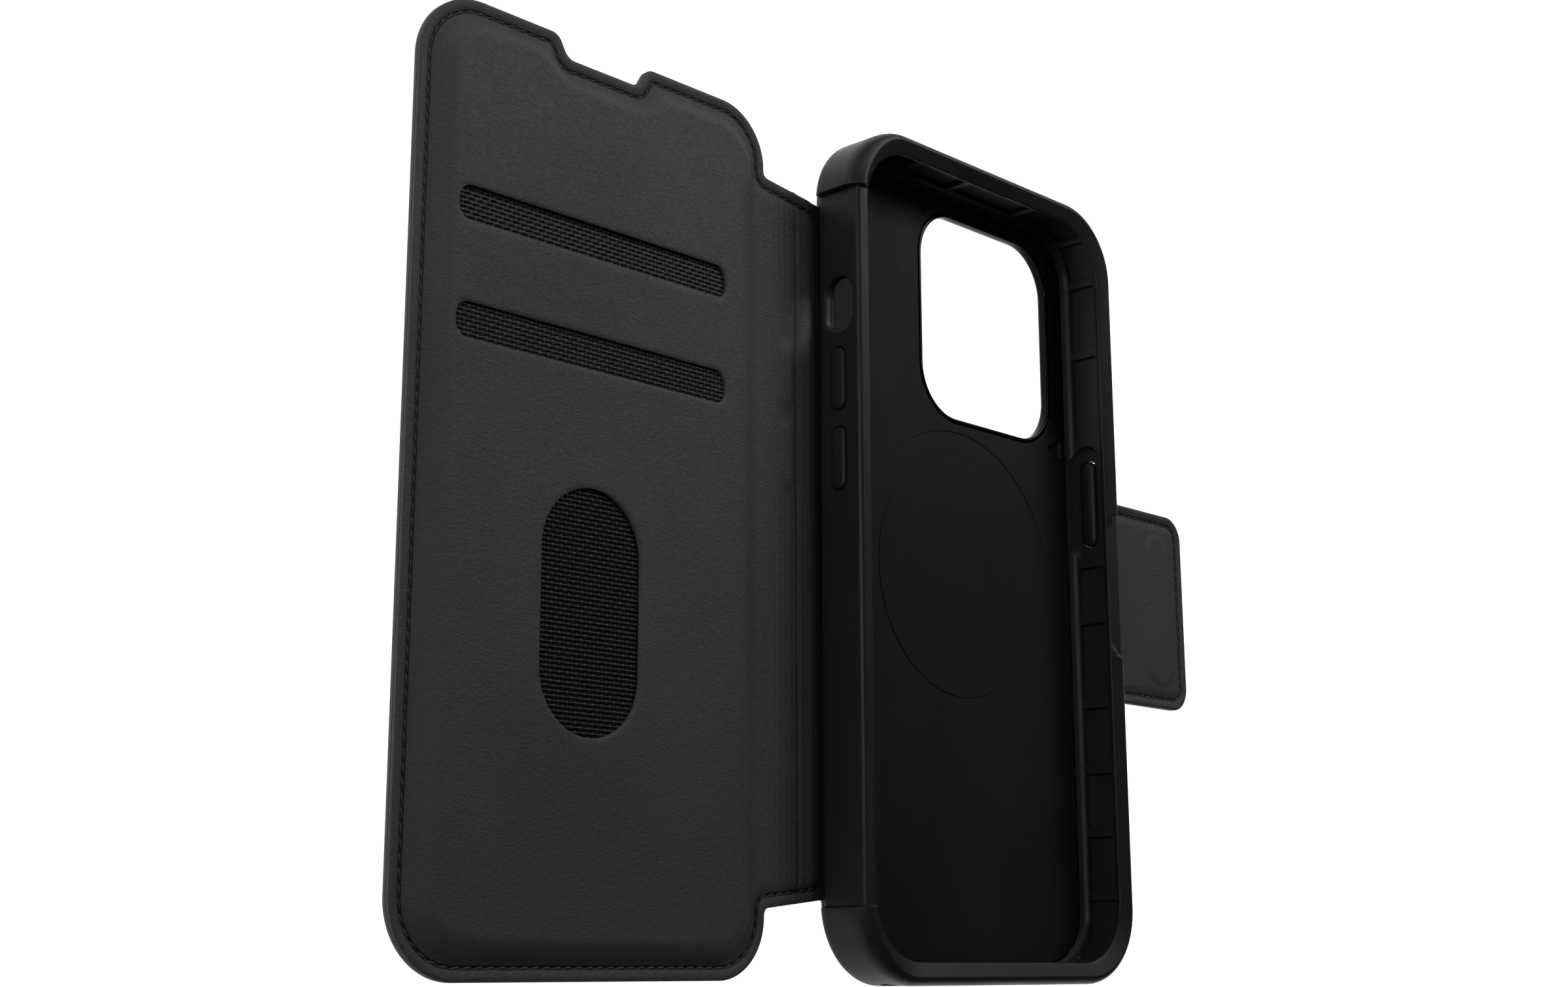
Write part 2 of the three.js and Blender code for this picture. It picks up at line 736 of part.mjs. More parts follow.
function tabThread() {
  const half = STITCH.width / 2;
  const low = LINING.high + 0.02;
  return cut(
    slab(tabShape(STITCH.inset - half), low, low + STITCH.height),
    slab(tabShape(STITCH.inset + half), 0, MARGIN),
    box(TAB_FOLD_X - 1, TAB_FOLD_X + 2.5, 3 - TAB.halfWidth, TAB.halfWidth - 3, 0, MARGIN),
  );
}

function strapThread(side) {
  const y = side * (TAB.halfWidth - STITCH.inset);
  return threadRun([STRAP_FOLD_X + 1, y], [TAB_FOLD_X - 1, y]);
}

// ---------------------------------------------------------------- assembly

const wallet = new THREE.Group();

function add(name, geometry, look) {
  const piece = new THREE.Mesh(geometry, look);
  piece.name = name;
  wallet.add(piece);
}

add("shell_bumper", shellBumper(), polymer);
add("shell_back_plate", shellBackPlate(), plateMaterial);
add("camera_trim", cameraTrim(), glossTrim);
for (let i = 0; i < RING.segments; i += 1) {
  add(`ring_magnet_${String(i + 1).padStart(2, "0")}`, ringMagnet(i), steel);
}
add("ring_cover", ringCover(), plateMaterial);
add("shell_bonding_film", bondingFilm(), film);
add("back_outer_leather", backLeather(SKIN.low, SKIN.high), leather);
add("back_inner_leather", backLeather(LINING.low, LINING.high), lining);

const hingeWallX = SHELL.halfWidth - GUARD.step;
for (const [name, y] of Object.entries(VOLUME_KEYS)) {
  add(name, sideKey(-1, hingeWallX, y, VOLUME_Z, KEY.length, KEY.height), keyMaterial);
}
const powerKey = sideKey(1, SHELL.halfWidth, POWER_KEY.y, KEY_Z, POWER_KEY.length, POWER_KEY.height);
add("power_key", powerKey, keyMaterial);

add("spine_outer_leather", slab(spineOutline(0), SKIN.low, SKIN.high), leather);
add("spine_lining", spineLining(), lining);
add("spine_pad_volume_up", spinePad(VOLUME_KEYS.volume_up_key), lining);
add("spine_pad_volume_down", spinePad(VOLUME_KEYS.volume_down_key), lining);
add("spine_stitching_top", spineThread(1), thread);
add("spine_stitching_bottom", spineThread(-1), thread);

add("cover_outer_leather", coverOuterLeather(), leather);
add("cover_lining", coverLining(), lining);
add("cover_stiffener_board", stiffenerBoard(), board);
add("cover_catch_plate", catchPlate(), steel);
add("pocket_back_mesh", pocketMesh(MESH_BACK), mesh);
add("pocket_divider_mesh", pocketMesh(MESH_DIVIDER), mesh);
add("cover_stitching", coverThread(), thread);

add("strap_outer_leather", strapSlab(SKIN.low, SKIN.high), leather);
add("strap_lining", strapSlab(LINING.low, LINING.high), lining);
add("strap_stitching_top", strapThread(1), thread);
add("strap_stitching_bottom", strapThread(-1), thread);
add("tab_outer_leather", tabOuterLeather(), leather);
add("tab_lining", tabLining(), lining);
add("tab_magnet", slab(magnetShape(0), MAGNET.low, MAGNET.high), steel);
add("tab_stitching", tabThread(), thread);

export default wallet;
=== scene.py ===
"""Looks of the folio wallet case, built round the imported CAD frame. Helpers work in mm."""

import math

import bmesh
import bpy
import numpy as np
from mathutils import Matrix, Vector, kdtree
from mathutils.geometry import delaunay_2d_cdt


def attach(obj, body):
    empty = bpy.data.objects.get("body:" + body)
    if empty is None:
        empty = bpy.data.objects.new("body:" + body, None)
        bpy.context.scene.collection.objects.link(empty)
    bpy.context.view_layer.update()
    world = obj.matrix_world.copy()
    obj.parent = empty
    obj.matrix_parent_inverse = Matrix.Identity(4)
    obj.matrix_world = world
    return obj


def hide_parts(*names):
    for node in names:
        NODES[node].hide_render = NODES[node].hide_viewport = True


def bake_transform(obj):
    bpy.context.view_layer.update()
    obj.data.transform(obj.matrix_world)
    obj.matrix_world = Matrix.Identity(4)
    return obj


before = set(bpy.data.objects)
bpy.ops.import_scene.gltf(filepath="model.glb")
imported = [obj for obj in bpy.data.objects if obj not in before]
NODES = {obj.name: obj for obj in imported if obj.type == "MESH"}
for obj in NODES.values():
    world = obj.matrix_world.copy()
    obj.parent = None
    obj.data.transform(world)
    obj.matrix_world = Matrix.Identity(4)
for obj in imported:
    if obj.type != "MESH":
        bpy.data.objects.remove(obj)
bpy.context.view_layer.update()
MM = 0.001


# ---- camera and light


def link(name, data):
    item = bpy.data.objects.new(name, data)
    bpy.context.scene.collection.objects.link(item)
    return item


def make_camera():
    data = bpy.data.cameras.new("camera")
    data.sensor_width = 36
    data.lens = 48.3
    data.clip_start = 0.01
    data.clip_end = 20
    forward = Vector((0.70346, 0.22094, -0.67552)).normalized()
    right = Vector((0.69313, -0.00299, 0.72081))
    right = (right - forward * right.dot(forward)).normalized()
    up = right.cross(forward)
    camera = link("camera", data)
    turn = Matrix((right, up, -forward)).transposed().to_4x4()
    camera.matrix_world = Matrix.Translation((-0.30230, -0.07362, 0.24755)) @ turn
    bpy.context.scene.camera = camera


make_camera()


def area_light(name, place, target, size, energy):
    data = bpy.data.lights.new(name, "AREA")
    data.shape = "RECTANGLE"
    data.size, data.size_y = size
    data.energy = energy
    light = link(name, data)
    light.location = place
    light.rotation_mode = "QUATERNION"
    light.rotation_quaternion = (Vector(target) - Vector(place)).to_track_quat("-Z", "Y")


# ---- node materials


class Nodes:
    """Short names for building one material's node tree."""

    def __init__(self, name, cad=False):
        self.material = bpy.data.materials.new(name)
        self.material.use_nodes = True
        self.tree = self.material.node_tree
        self.shader = self.tree.nodes["Principled BSDF"]
        # a point's place in metres, which stays put when the piece bends
        if cad:
            self.rest = self.add("ShaderNodeTexCoord").outputs["Object"]
        else:
            self.rest = self.add("ShaderNodeAttribute", attribute_name="rest").outputs["Vector"]

    def add(self, kind, inputs=(), **settings):
        node = self.tree.nodes.new(kind)
        for key, value in settings.items():
            setattr(node, key, value)
        for key, value in dict(inputs).items():
            self.feed(node, key, value)
        return node

    def feed(self, node, key, value):
        socket = node.inputs[key]
        if isinstance(value, bpy.types.NodeSocket):
            self.tree.links.new(value, socket)
        else:
            socket.default_value = value

    def place(self, scale, turn=0):
        """The resting place, stretched by scale and turned about z."""
        inputs = {"Vector": self.rest, "Scale": scale, "Rotation": (0, 0, turn)}
        return self.add("ShaderNodeMapping", inputs).outputs["Vector"]

    def mask(self, name):
        return self.add("ShaderNodeAttribute", attribute_name=name).outputs["Fac"]

    def noise(self, scale, detail=3, roughness=0.5, distortion=0, turn=0):
        inputs = {"Vector": self.place(scale, turn), "Scale": 1.0, "Detail": detail}
        inputs |= {"Roughness": roughness, "Distortion": distortion}
        return self.add("ShaderNodeTexNoise", inputs).outputs["Fac"]

    def ramp(self, value, low, high, to_low=0.0, to_high=1.0):
        inputs = {"Value": value, "From Min": low, "From Max": high}
        inputs |= {"To Min": to_low, "To Max": to_high}
        return self.add("ShaderNodeMapRange", inputs).outputs["Result"]

    def math(self, operation, a, b):
        return self.add("ShaderNodeMath", {0: a, 1: b}, operation=operation).outputs[0]

    def mix(self, share, a, b):
        return self.add("ShaderNodeMix", {0: share, 6: a, 7: b}, data_type="RGBA").outputs[2]

    def tones(self, value, low, high, dark, light):
        """Grey levels from dark to light as value goes from low to high."""
        return self.mix(self.ramp(value, low, high), grey(dark), grey(light))

    def bump(self, height, strength, depth, normal=None):
        inputs = {"Height": height, "Strength": strength, "Distance": depth}
        if normal is not None:
            inputs["Normal"] = normal
        return self.add("ShaderNodeBump", inputs).outputs["Normal"]

    def set(self, **inputs):
        for key, value in inputs.items():
            self.feed(self.shader, key.replace("_", " "), value)
        return self.material


def grey(value):
    """A neutral colour of that sRGB level, 0 to 255, as linear light."""
    share = value / 255
    level = share / 12.92 if share < 0.04045 else ((share + 0.055) / 1.055) ** 2.4
    return (level, level, level * 1.01, 1)


def leather(name, base, grain=1.0, rough=0.62, specular=0.14):
    """Fine-grained black leather: short wrinkles across, pores, slow tone changes, worn edges, and
    painted shade where the shade mask is set.
    """
    n = Nodes(name)
    wrinkles = n.noise((1250, 2700, 1900), 3, 0.6, 0.8, turn=0.06)
    cells = {"Vector": n.place((1500, 2300, 1900)), "Scale": 1.0}
    pebble = n.add("ShaderNodeTexVoronoi", cells).outputs["Distance"]
    pores = n.noise((3600, 3600, 3600), 2)
    fine = n.math("ADD", wrinkles, n.math("MULTIPLY", pebble, 0.45))
    grain_height = n.math("ADD", fine, n.math("MULTIPLY", pores, 0.25))
    tone = n.tones(n.noise((28, 22, 25)), 0.35, 0.65, base - 3, base + 3)
    speck = n.tones(wrinkles, 0.42, 0.62, base - 9, base + 7)
    # painted shade: near-black in the stitch grooves and in the strip under the shell's wall
    dark = n.mix(n.mask("groove_and_shade"), n.mix(0.3, tone, speck), grey(4))
    n.set(Base_Color=n.mix(n.mask("edge"), dark, grey(base + 8)), Specular_IOR_Level=specular)
    n.set(Roughness=n.ramp(wrinkles, 0.3, 0.7, rough + 0.07, rough - 0.07))
    soft = n.bump(n.noise((160, 130, 150), 2), 0.25, 0.0002)
    return n.set(Normal=n.bump(grain_height, 0.55 * grain, 0.00014, soft))


def polymer(name, base, specular, rough=0.42, texture=1.0):
    """Moulded thermoplastic: near-black, satin, with a very fine spark-eroded texture, and painted
    shade where the shade mask is set.
    """
    n = Nodes(name)
    fine = n.noise((2600, 2600, 2600), 2)
    tone = n.tones(n.noise((40, 30, 60), 3, 0.55), 0.35, 0.68, base - 2, base + 2)
    speck = n.mix(n.ramp(fine, 0.4, 0.75, 0, 0.3), tone, grey(base + 8))
    # painted shade: darker where the shade mask is set, on the plate beside the inner wall and
    # along the top
    colour = n.mix(n.mask("groove_and_shade"), speck, grey(base * 0.3))
    smudge = n.noise((90, 70, 90), 4, 0.6)
    n.set(Base_Color=colour, Specular_IOR_Level=specular)
    n.set(Roughness=n.ramp(smudge, 0.3, 0.7, rough - 0.04, rough + 0.06))
    return n.set(Normal=n.bump(fine, 0.18 * texture, 0.00004))


def gloss():
    """Polished black trim with faint hairlines."""
    n = Nodes("trim_gloss")
    hair = n.noise((300, 300, 4200), 2)
    n.set(Base_Color=n.tones(hair, 0.4, 0.7, 3, 7), Specular_IOR_Level=0.05)
    return n.set(Roughness=n.ramp(hair, 0.3, 0.7, 0.08, 0.14))


def yarn(base):
    """Filament yarn of the pocket weave, with painted shade in the gaps and hollows."""
    n = Nodes("pocket_yarn")
    fibre = n.noise((9000, 2600, 5000), 3, 0.6)
    colour = n.tones(fibre, 0.35, 0.7, base - 6, base + 10)
    # painted shade: near-black in the weave's gaps and hollows, and over the window patch
    n.set(Base_Color=n.mix(n.mask("groove_and_shade"), colour, grey(3)), Specular_IOR_Level=0.15)
    n.set(Roughness=n.ramp(fibre, 0.3, 0.7, 0.34, 0.5))
    return n.set(Normal=n.bump(fibre, 0.35, 0.00003))


def thread(base):
    """Bonded sewing thread with twisted plies."""
    n = Nodes("sewing_thread")
    ply = n.add("ShaderNodeTexWave", {"Vector": n.place((900, 900, 900), 0.7), "Scale": 1.4})
    fuzz = n.noise((5200, 5200, 5200), 2)
    n.set(Base_Color=n.tones(fuzz, 0.35, 0.7, base - 8, base + 10))
    n.set(Roughness=0.6, Specular_IOR_Level=0.15)
    return n.set(Normal=n.bump(ply.outputs["Fac"], 0.35, 0.00004))


def brushed_steel():
    n = Nodes("magnet_steel", cad=True)
    grain = n.noise((300, 6000, 300), 2)
    n.set(Base_Color=n.mix(grain, grey(150), grey(178)), Metallic=1.0)
    return n.set(Roughness=n.ramp(grain, 0.3, 0.7, 0.25, 0.42), Normal=n.bump(grain, 0.2, 0.00003))


def pressed_board():
    n = Nodes("stiffener_board", cad=True)
    fibre = n.noise((700, 260, 700), 5, 0.65)
    n.set(Base_Color=n.mix(fibre, (0.16, 0.11, 0.07, 1), (0.3, 0.23, 0.16, 1)), Roughness=0.88)
    return n.set(Normal=n.bump(fibre, 0.3, 0.00006))


def adhesive_film():
    n = Nodes("bonding_film", cad=True)
    cloud = n.noise((120, 120, 120), 4)
    roughness = n.ramp(cloud, 0.3, 0.7, 0.3, 0.5)
    return n.set(Base_Color=n.mix(cloud, grey(70), grey(92)), Roughness=roughness)


LINING = leather("lining_leather", 47)
OUTER = leather("outer_leather", 40, grain=1.25, rough=0.55, specular=0.3)
SHELL = polymer("shell_polymer", 20, specular=0.1)
PLATE = polymer("plate_polymer", 18, specular=0.05, rough=0.55, texture=1.6)
KEY = polymer("key_polymer", 21, specular=0.1, rough=0.4)
TRIM = gloss()
MESH = yarn(38)
THREAD = thread(43)
STEEL = brushed_steel()
BOARD = pressed_board()
FILM = adhesive_film()


# ---- flat geometry


def unit(v):
    return v / np.linalg.norm(v)


def densify(points, step, closed=True):
    """The same path with no edge longer than step."""
    points = np.asarray(points, float)
    ends = np.roll(points, -1, axis=0) if closed else points[1:]
    starts = points if closed else points[:-1]
    made = []
    for a, b in zip(starts, ends):
        count = max(1, math.ceil(np.linalg.norm(b - a) / step))
        made.extend(a + (b - a) * k / count for k in range(count))
    if not closed:
        made.append(points[-1])
    return np.array(made)


def rounded_path(corners, step=1.0, closed=True):
    """A path through corners (x, y, radius), with a point about every step."""
    points = []
    count = len(corners)
    for i, (x, y, radius) in enumerate(corners):
        c = np.array((x, y), float)
        if radius <= 0 or (not closed and i in (0, count - 1)):
            points.append(c)
            continue
        d1 = unit(c - np.array(corners[i - 1][:2], float))
        d2 = unit(np.array(corners[(i + 1) % count][:2], float) - c)
        turn = math.atan2(d1[0] * d2[1] - d1[1] * d2[0], d1 @ d2)
        reach = radius * math.tan(abs(turn) / 2)
        side = math.copysign(1, turn)
        start = c - d1 * reach
        centre = start + np.array((-d1[1], d1[0])) * side * radius
        steps = max(4, math.ceil(abs(turn) * radius / (step * 0.6)))
        for k in range(steps + 1):
            a = turn * k / steps
            v = start - centre
            cos, sin = math.cos(a), math.sin(a)
            points.append(centre + np.array((v[0] * cos - v[1] * sin, v[0] * sin + v[1] * cos)))
    return densify(points, step, closed)


def rectangle(x, y, half_width, half_length, corner, step=1.0):
    """A rounded rectangle, counterclockwise."""
    ways = ((1, -1), (1, 1), (-1, 1), (-1, -1))
    return rounded_path([(x + i * half_width, y + j * half_length, corner) for i, j in ways], step)


def leftward(along):
    """Unit vectors to the left of those directions."""
    along = along / np.linalg.norm(along, axis=1)[:, None]
    return np.column_stack((-along[:, 1], along[:, 0]))


def inset(loop, distance):
    """A closed path moved to its left."""
    return loop + leftward(np.roll(loop, -1, axis=0) - np.roll(loop, 1, axis=0)) * distance


def offset_open(path, distance):
    """An open path moved to its left."""
    return path + leftward(np.gradient(path, axis=0)) * distance


def inside(points, loop):
    """Which points lie inside a closed path."""
    x, y = points[:, 0], points[:, 1]
    result = np.zeros(len(points), bool)
    for (x0, y0), (x1, y1) in zip(loop, np.roll(loop, -1, axis=0)):
        if y0 == y1:
            continue
        crosses = (y0 > y) != (y1 > y)
        result ^= crosses & (x < (x1 - x0) * (y - y0) / (y1 - y0) + x0)
    return result


class Distance:
    """Distance from points to a path."""

    def __init__(self, path, closed=True, step=0.12):
        dense = densify(path, step, closed)
        self.tree = kdtree.KDTree(len(dense))
        for i, (x, y) in enumerate(dense):
            self.tree.insert((x, y, 0), i)
        self.tree.balance()

    def __call__(self, x, y):
        found = [self.tree.find((a, b, 0))[2] for a, b in zip(x, y)]
        return np.array(found)


def smooth(value, low, high):
    t = np.clip((value - low) / (high - low), 0, 1)
    return t * t * (3 - 2 * t)


def rectangle_distance(x, y, cx, cy, half_width, half_length, corner):
    """Signed distance to a rounded rectangle, negative inside."""
    qx = np.abs(x - cx) - half_width + corner
    qy = np.abs(y - cy) - half_length + corner
    outside = np.hypot(np.maximum(qx, 0), np.maximum(qy, 0))
    return outside + np.minimum(np.maximum(qx, qy), 0) - corner


def net(x0, x1, y0, y1, step_x, step_y=None):
    """Staggered points over a box."""
    xs = np.arange(x0, x1, step_x)
    rows = enumerate(np.arange(y0, y1, step_y or step_x * 0.87))
    made = [(xs + (i % 2) * step_x / 2, np.full(len(xs), y)) for i, y in rows]
    return np.concatenate([np.stack(row, 1) for row in made])


# ---- meshes


def make_object(name, verts, faces, material, angle=32, masks=None):
    """A mesh object from mm vertices, smooth-shaded but for edges sharper than angle."""
    verts = np.asarray(verts, float) * MM
    mesh = bpy.data.meshes.new(name)
    mesh.from_pydata(verts.tolist(), [], [list(f) for f in faces])
    mesh.validate()
    rest = mesh.attributes.new("rest", "FLOAT_VECTOR", "POINT")
    rest.data.foreach_set("vector", verts.astype(np.float32).ravel())
    # per-point masks: painted shade (stitch grooves, under the shell's wall, the plate beside the
    # wall, the weave's gaps) and worn edges
    for key in ("groove_and_shade", "edge"):
        values = (masks or {}).get(key)
        layer = mesh.attributes.new(key, "FLOAT", "POINT")
        if values is not None:
            layer.data.foreach_set("value", np.asarray(values, np.float32))
    mesh.materials.append(material)
    piece = link(name, mesh)
    shade(piece, angle)
    return piece


def shade(piece, angle):
    mesh = piece.data
    mesh.polygons.foreach_set("use_smooth", np.ones(len(mesh.polygons), bool))
    mesh.set_sharp_from_angle(angle=math.radians(angle))
    mesh.update()


def triangulate(loops, inner):
    """Triangles that fill the area between loops; the loops' points come first."""
    points = np.concatenate([*loops, inner]) if len(inner) else np.concatenate(loops)
    edges, start = [], 0
    for loop in loops:
        ids = np.arange(len(loop)) + start
        edges.extend(zip(ids.tolist(), np.roll(ids, -1).tolist()))
        start += len(loop)
    found = delaunay_2d_cdt([Vector(p) for p in points], edges, [], 1, 1e-7)
    source = [ids[0] for ids in found[3]]
    triangles = np.array([[source[v] for v in face] for face in found[2]])
    centres = points[triangles].mean(axis=1)
    good = np.ones(len(triangles), bool)
    for hole in loops[1:]:
        good &= ~inside(centres, hole)
    return points, triangles[good].tolist()


def joint_points(loop, butt):
    """Which points lie on the butt joint at that x, and which of those end the run of them."""
    on_joint = np.abs(loop[:, 0] - butt) < 1e-6
    return on_joint, on_joint & ~(np.roll(on_joint, 1) & np.roll(on_joint, -1))


def rim_share(loop, butt):
    """0 where the outline runs along the butt joint, else 1."""
    on_joint, ends = joint_points(loop, butt)
    return np.where(on_joint & ~ends, 0.0, 1.0)


def rim_inset(loop, distance, butt):
    """The loop moved inward, but for the points on the butt joint, which slide along it."""
    moved = inset(loop, distance)
    on_joint, ends = joint_points(loop, butt)
    between = on_joint & ~ends
    moved[on_joint, 0] = butt
    moved[between, 1] = loop[between, 1]
    moved[ends, 1] = loop[ends, 1] - np.sign(loop[ends, 1]) * distance
    return moved


def welded(verts, faces):
    """Joins points that lie in one place and drops the faces that vanish with them."""
    _, first, where = np.unique(np.round(verts, 6), axis=0, return_index=True, return_inverse=True)
    where = where.ravel()
    kept = []
    for face in faces:
        ids = [int(where[v]) for v in face]
        ids = [v for k, v in enumerate(ids) if v != ids[k - 1]]
        if len(ids) > 2 and len(ids) == len(set(ids)):
            kept.append(ids)
    return verts[first], kept


def stack_faces(levels, loop, closed=False, caps=False):
    """Faces between levels of loop points each, from the first up, with caps on both ends."""
    faces = []
    for low in range(levels if closed else levels - 1):
        a, b = low * loop, (low + 1) % levels * loop
        for i in range(loop):
            j = (i + 1) % loop
            faces.append((a + i, a + j, b + j, b + i))
    if caps:
        faces.append(list(range(loop))[::-1])
        faces.append([(levels - 1) * loop + i for i in range(loop)])
    return faces


def sheet(name, loops, heights, rim, inner, material, masks=None, angle=40, butt=math.inf):
    """A closed sheet between two height functions, with rounded edges of radius rim.

    loops: the outline counterclockwise, then holes clockwise. heights: height of the top and of
    the bottom. inner: extra points of the top and of the bottom. masks: name -> rule of x, y, z.
    """
    top, bottom = heights
    inner_top, inner_bottom = inner
    verts, faces = [], []
    corner = rim * (1 - math.sqrt(0.5))
    levels = [
        (rim, bottom, 0),
        (corner, bottom, corner),
        (0, bottom, rim),
        (0, top, -rim),
        (corner, top, -corner),
        (rim, top, 0),
    ]
    first = []
    for distance, height, lift in levels:
        first.append(len(verts))
        for loop in loops:
            moved = rim_inset(loop, distance, butt)
            z = height(moved[:, 0], moved[:, 1]) + lift * rim_share(loop, butt)
            verts.extend(np.column_stack((moved, z)).tolist())
    for low, high in zip(first, first[1:]):
        start = 0
        for loop in loops:
            count = len(loop)
            for i in range(count):
                a, b = start + i, start + (i + 1) % count
                faces.append((low + a, low + b, high + b, high + a))
            start += count
    total = sum(len(loop) for loop in loops)
    for level, height, inner, flip in (
        (0, bottom, inner_bottom, True),
        (len(levels) - 1, top, inner_top, False),
    ):
        caps = [rim_inset(loop, levels[level][0], butt) for loop in loops]
        points, triangles = triangulate(caps, inner)
        extra = points[total:]
        base = len(verts)
        if len(extra):
            z = height(extra[:, 0], extra[:, 1])
            verts.extend(np.column_stack((extra, z)).tolist())
        for face in triangles:
            ids = [first[level] + v if v < total else base + v - total for v in face]
            a, b, c = (points[v] for v in face)
            upward = (b[0] - a[0]) * (c[1] - a[1]) - (b[1] - a[1]) * (c[0] - a[0]) > 0
            faces.append(ids if upward != flip else ids[::-1])
    verts, faces = welded(np.array(verts), faces)
    made = {key: rule(*verts.T) for key, rule in (masks or {}).items()}
    return make_object(name, verts, faces, material, angle, made)


def keep_inside(points, loops, margin):
    """Points that lie in the area between loops and at least margin from them."""
    good = inside(points, loops[0])
    for hole in loops[1:]:
        good &= ~inside(points, hole)
    points = points[good]
    for loop in loops:
        points = points[Distance(loop, step=0.2)(*points.T) > margin]
    return points


def rings(name, sections, material, closed=False, angle=32):
    """A solid skin through loops of points of equal count, each an array of x, y, z."""
    faces = stack_faces(len(sections), len(sections[0]), closed, caps=not closed)
    piece = make_object(name, np.concatenate(sections), faces, material, angle)
    work = bmesh.new()
    work.from_mesh(piece.data)
    bmesh.ops.recalc_face_normals(work, faces=work.faces)
    work.to_mesh(piece.data)
    work.free()
    shade(piece, angle)
    return piece


def level(loop, z):
    return np.column_stack((loop, np.full(len(loop), z)))


def even_rectangle(x, y, half_width, half_length, corner, per):
    """A rounded rectangle with a fixed number of points on each corner and none between."""
    made = []
    for sx, sy, start in ((1, -1, -90), (1, 1, 0), (-1, 1, 90), (-1, -1, 180)):
        cx, cy = x + sx * (half_width - corner), y + sy * (half_length - corner)
        for k in range(per):
            a = math.radians(start + 90 * k / (per - 1))
            made.append((cx + corner * math.cos(a), cy + corner * math.sin(a)))
    return np.array(made)


def settle(piece, body, node):
    """Puts a piece on its body, in place of its CAD node if it has one."""
    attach(piece, body)
    if node:
        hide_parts(node)


# ---- dimensions, mm

SKIN_TOP = 0.84
LINING_LOW = 0.88
FLAT = 1.5
FOLD = {"cover": -50.9, "spine": -38.8, "strap": 39.5, "tab": 53.7}
SEAM_X = -43.35
STRAP_ROOT = 37.55
COVER_EDGE = -125.9
COVER_END = 75.25
COVER_CORNER = 12
COVER_MID = -88.4
COVER_HALF = (37.5, COVER_END)
NOTCH_FLOOR = 71.45
NOTCH = [(-79.0, COVER_END), (-81.1, NOTCH_FLOOR), (-96.4, NOTCH_FLOOR), (-98.5, COVER_END)]
SLOTS = [(-89.95, 40.9), (-90.0, 22.3)]
SLOT = {"half": (28.35, 2.82), "corner": 2.3}
WINDOW = {"centre": (-90.7, -19.4), "half": (10.1, 19.5)}
CREASES = (-50.9, -49.5, -48.2, -46.7, -45.4, -44.0, -42.7, -41.2)
CREASE_DEPTH = 0.07
PADS = (28.3, 13.8)
BACK = {"half": (35.8, 73.6), "corner": 10.6}
TAB = {"half": 20.7, "end": 77.0, "corner": 5}
EMBOSS = {"x": 67.6, "half": (4.2, 15.9)}
STITCH_INSET = 2.05
PITCH = 2.1
CAMERA = {"centre": (9.85, 48.7), "half": (19.45, 20.1), "corner": 9.5}


def neck_half(x):
    """Half the height of the spine's leather at x."""
    share = (x - FOLD["cover"]) / (FOLD["spine"] - FOLD["cover"])
    return 63.75 - share * 1.45


# ---- leather outlines

notch_corners = [(x, y, 2.4) for x, y in NOTCH]
cover_corners = [
    (SEAM_X, -neck_half(SEAM_X), 0),
    (SEAM_X, neck_half(SEAM_X), 0),
    (FOLD["cover"], neck_half(FOLD["cover"]), 1.1),
    (FOLD["cover"], COVER_END, 10.2),
    *notch_corners,
    (COVER_EDGE, COVER_END, COVER_CORNER),
    (COVER_EDGE, -COVER_END, COVER_CORNER),
    (FOLD["cover"], -COVER_END, 10.2),
    (FOLD["cover"], -neck_half(FOLD["cover"]), 1.1),
]
cover_outline = rounded_path(cover_corners, 0.7)
slot_loops = [rectangle(x, y, *SLOT["half"], SLOT["corner"], 0.5)[::-1] for x, y in SLOTS]
window_loop = rectangle(*WINDOW["centre"], *WINDOW["half"], WINDOW["half"][0] - 0.01, 0.5)[::-1]
cover_loops = [cover_outline, *slot_loops, window_loop]

lower_back = [
    (SEAM_X, -neck_half(SEAM_X), 0),
    (-BACK["half"][0], -neck_half(-36), 0.6),
    (-BACK["half"][0], -BACK["half"][1], BACK["corner"]),
    (BACK["half"][0], -BACK["half"][1], BACK["corner"]),
    (BACK["half"][0], -TAB["half"], 0),
    (STRAP_ROOT, -TAB["half"], 0),
]
upper_back = [(x, -y, radius) for x, y, radius in lower_back[::-1]]
back_outline = rounded_path(lower_back + upper_back, 1.0)


def camera_loop(grow, step=0.7):
    half_width, half_length = (side + grow for side in CAMERA["half"])
    return rectangle(*CAMERA["centre"], half_width, half_length, CAMERA["corner"] + grow, step)


# ---- leather heights

notch_curve = rounded_path([(-76.9, 79, 0), *notch_corners, (-100.6, 79, 0)], 0.3, closed=False)
notch_distance = Distance(notch_curve, closed=False)


def free_edge_distance(outline):
    """Distance to an outline without its butt joint on the spine."""
    return Distance(outline[np.abs(outline[:, 0] - SEAM_X) > 0.05], closed=False)


edge_distance = free_edge_distance(cover_outline)


def blend_near(a, b, softness):
    """The smaller of two distances, with a soft corner where they are equal."""
    low = np.minimum(a, b)
    return low - softness * np.log1p(np.exp(-np.abs(a - b) / softness))


def pillow(x, y):
    """How far the padded middle of the cover stands above its sewn edge."""
    side = -rectangle_distance(x, y, COVER_MID, 0, *COVER_HALF, COVER_CORNER)
    depth = blend_near(side, notch_distance(x, y), 0.8)
    far = 1 - smooth(x, COVER_MID - COVER_HALF[0] + 8, COVER_MID - COVER_HALF[0] + 20)
    rise = smooth(depth, 2.3, 6.1 + far)
    crown = 0.12 * smooth(side, 8, 34)
    return np.where(x < FOLD["cover"] - 1, 1.42 * rise + crown * rise, 0)


def hole_distance(x, y):
    """Distance outside the slots and the window."""
    found = [rectangle_distance(x, y, cx, cy, *SLOT["half"], SLOT["corner"]) for cx, cy in SLOTS]
    half = WINDOW["half"]
    found.append(rectangle_distance(x, y, *WINDOW["centre"], *half, half[0] - 0.01))
    return np.maximum(np.min(found, axis=0), 0)


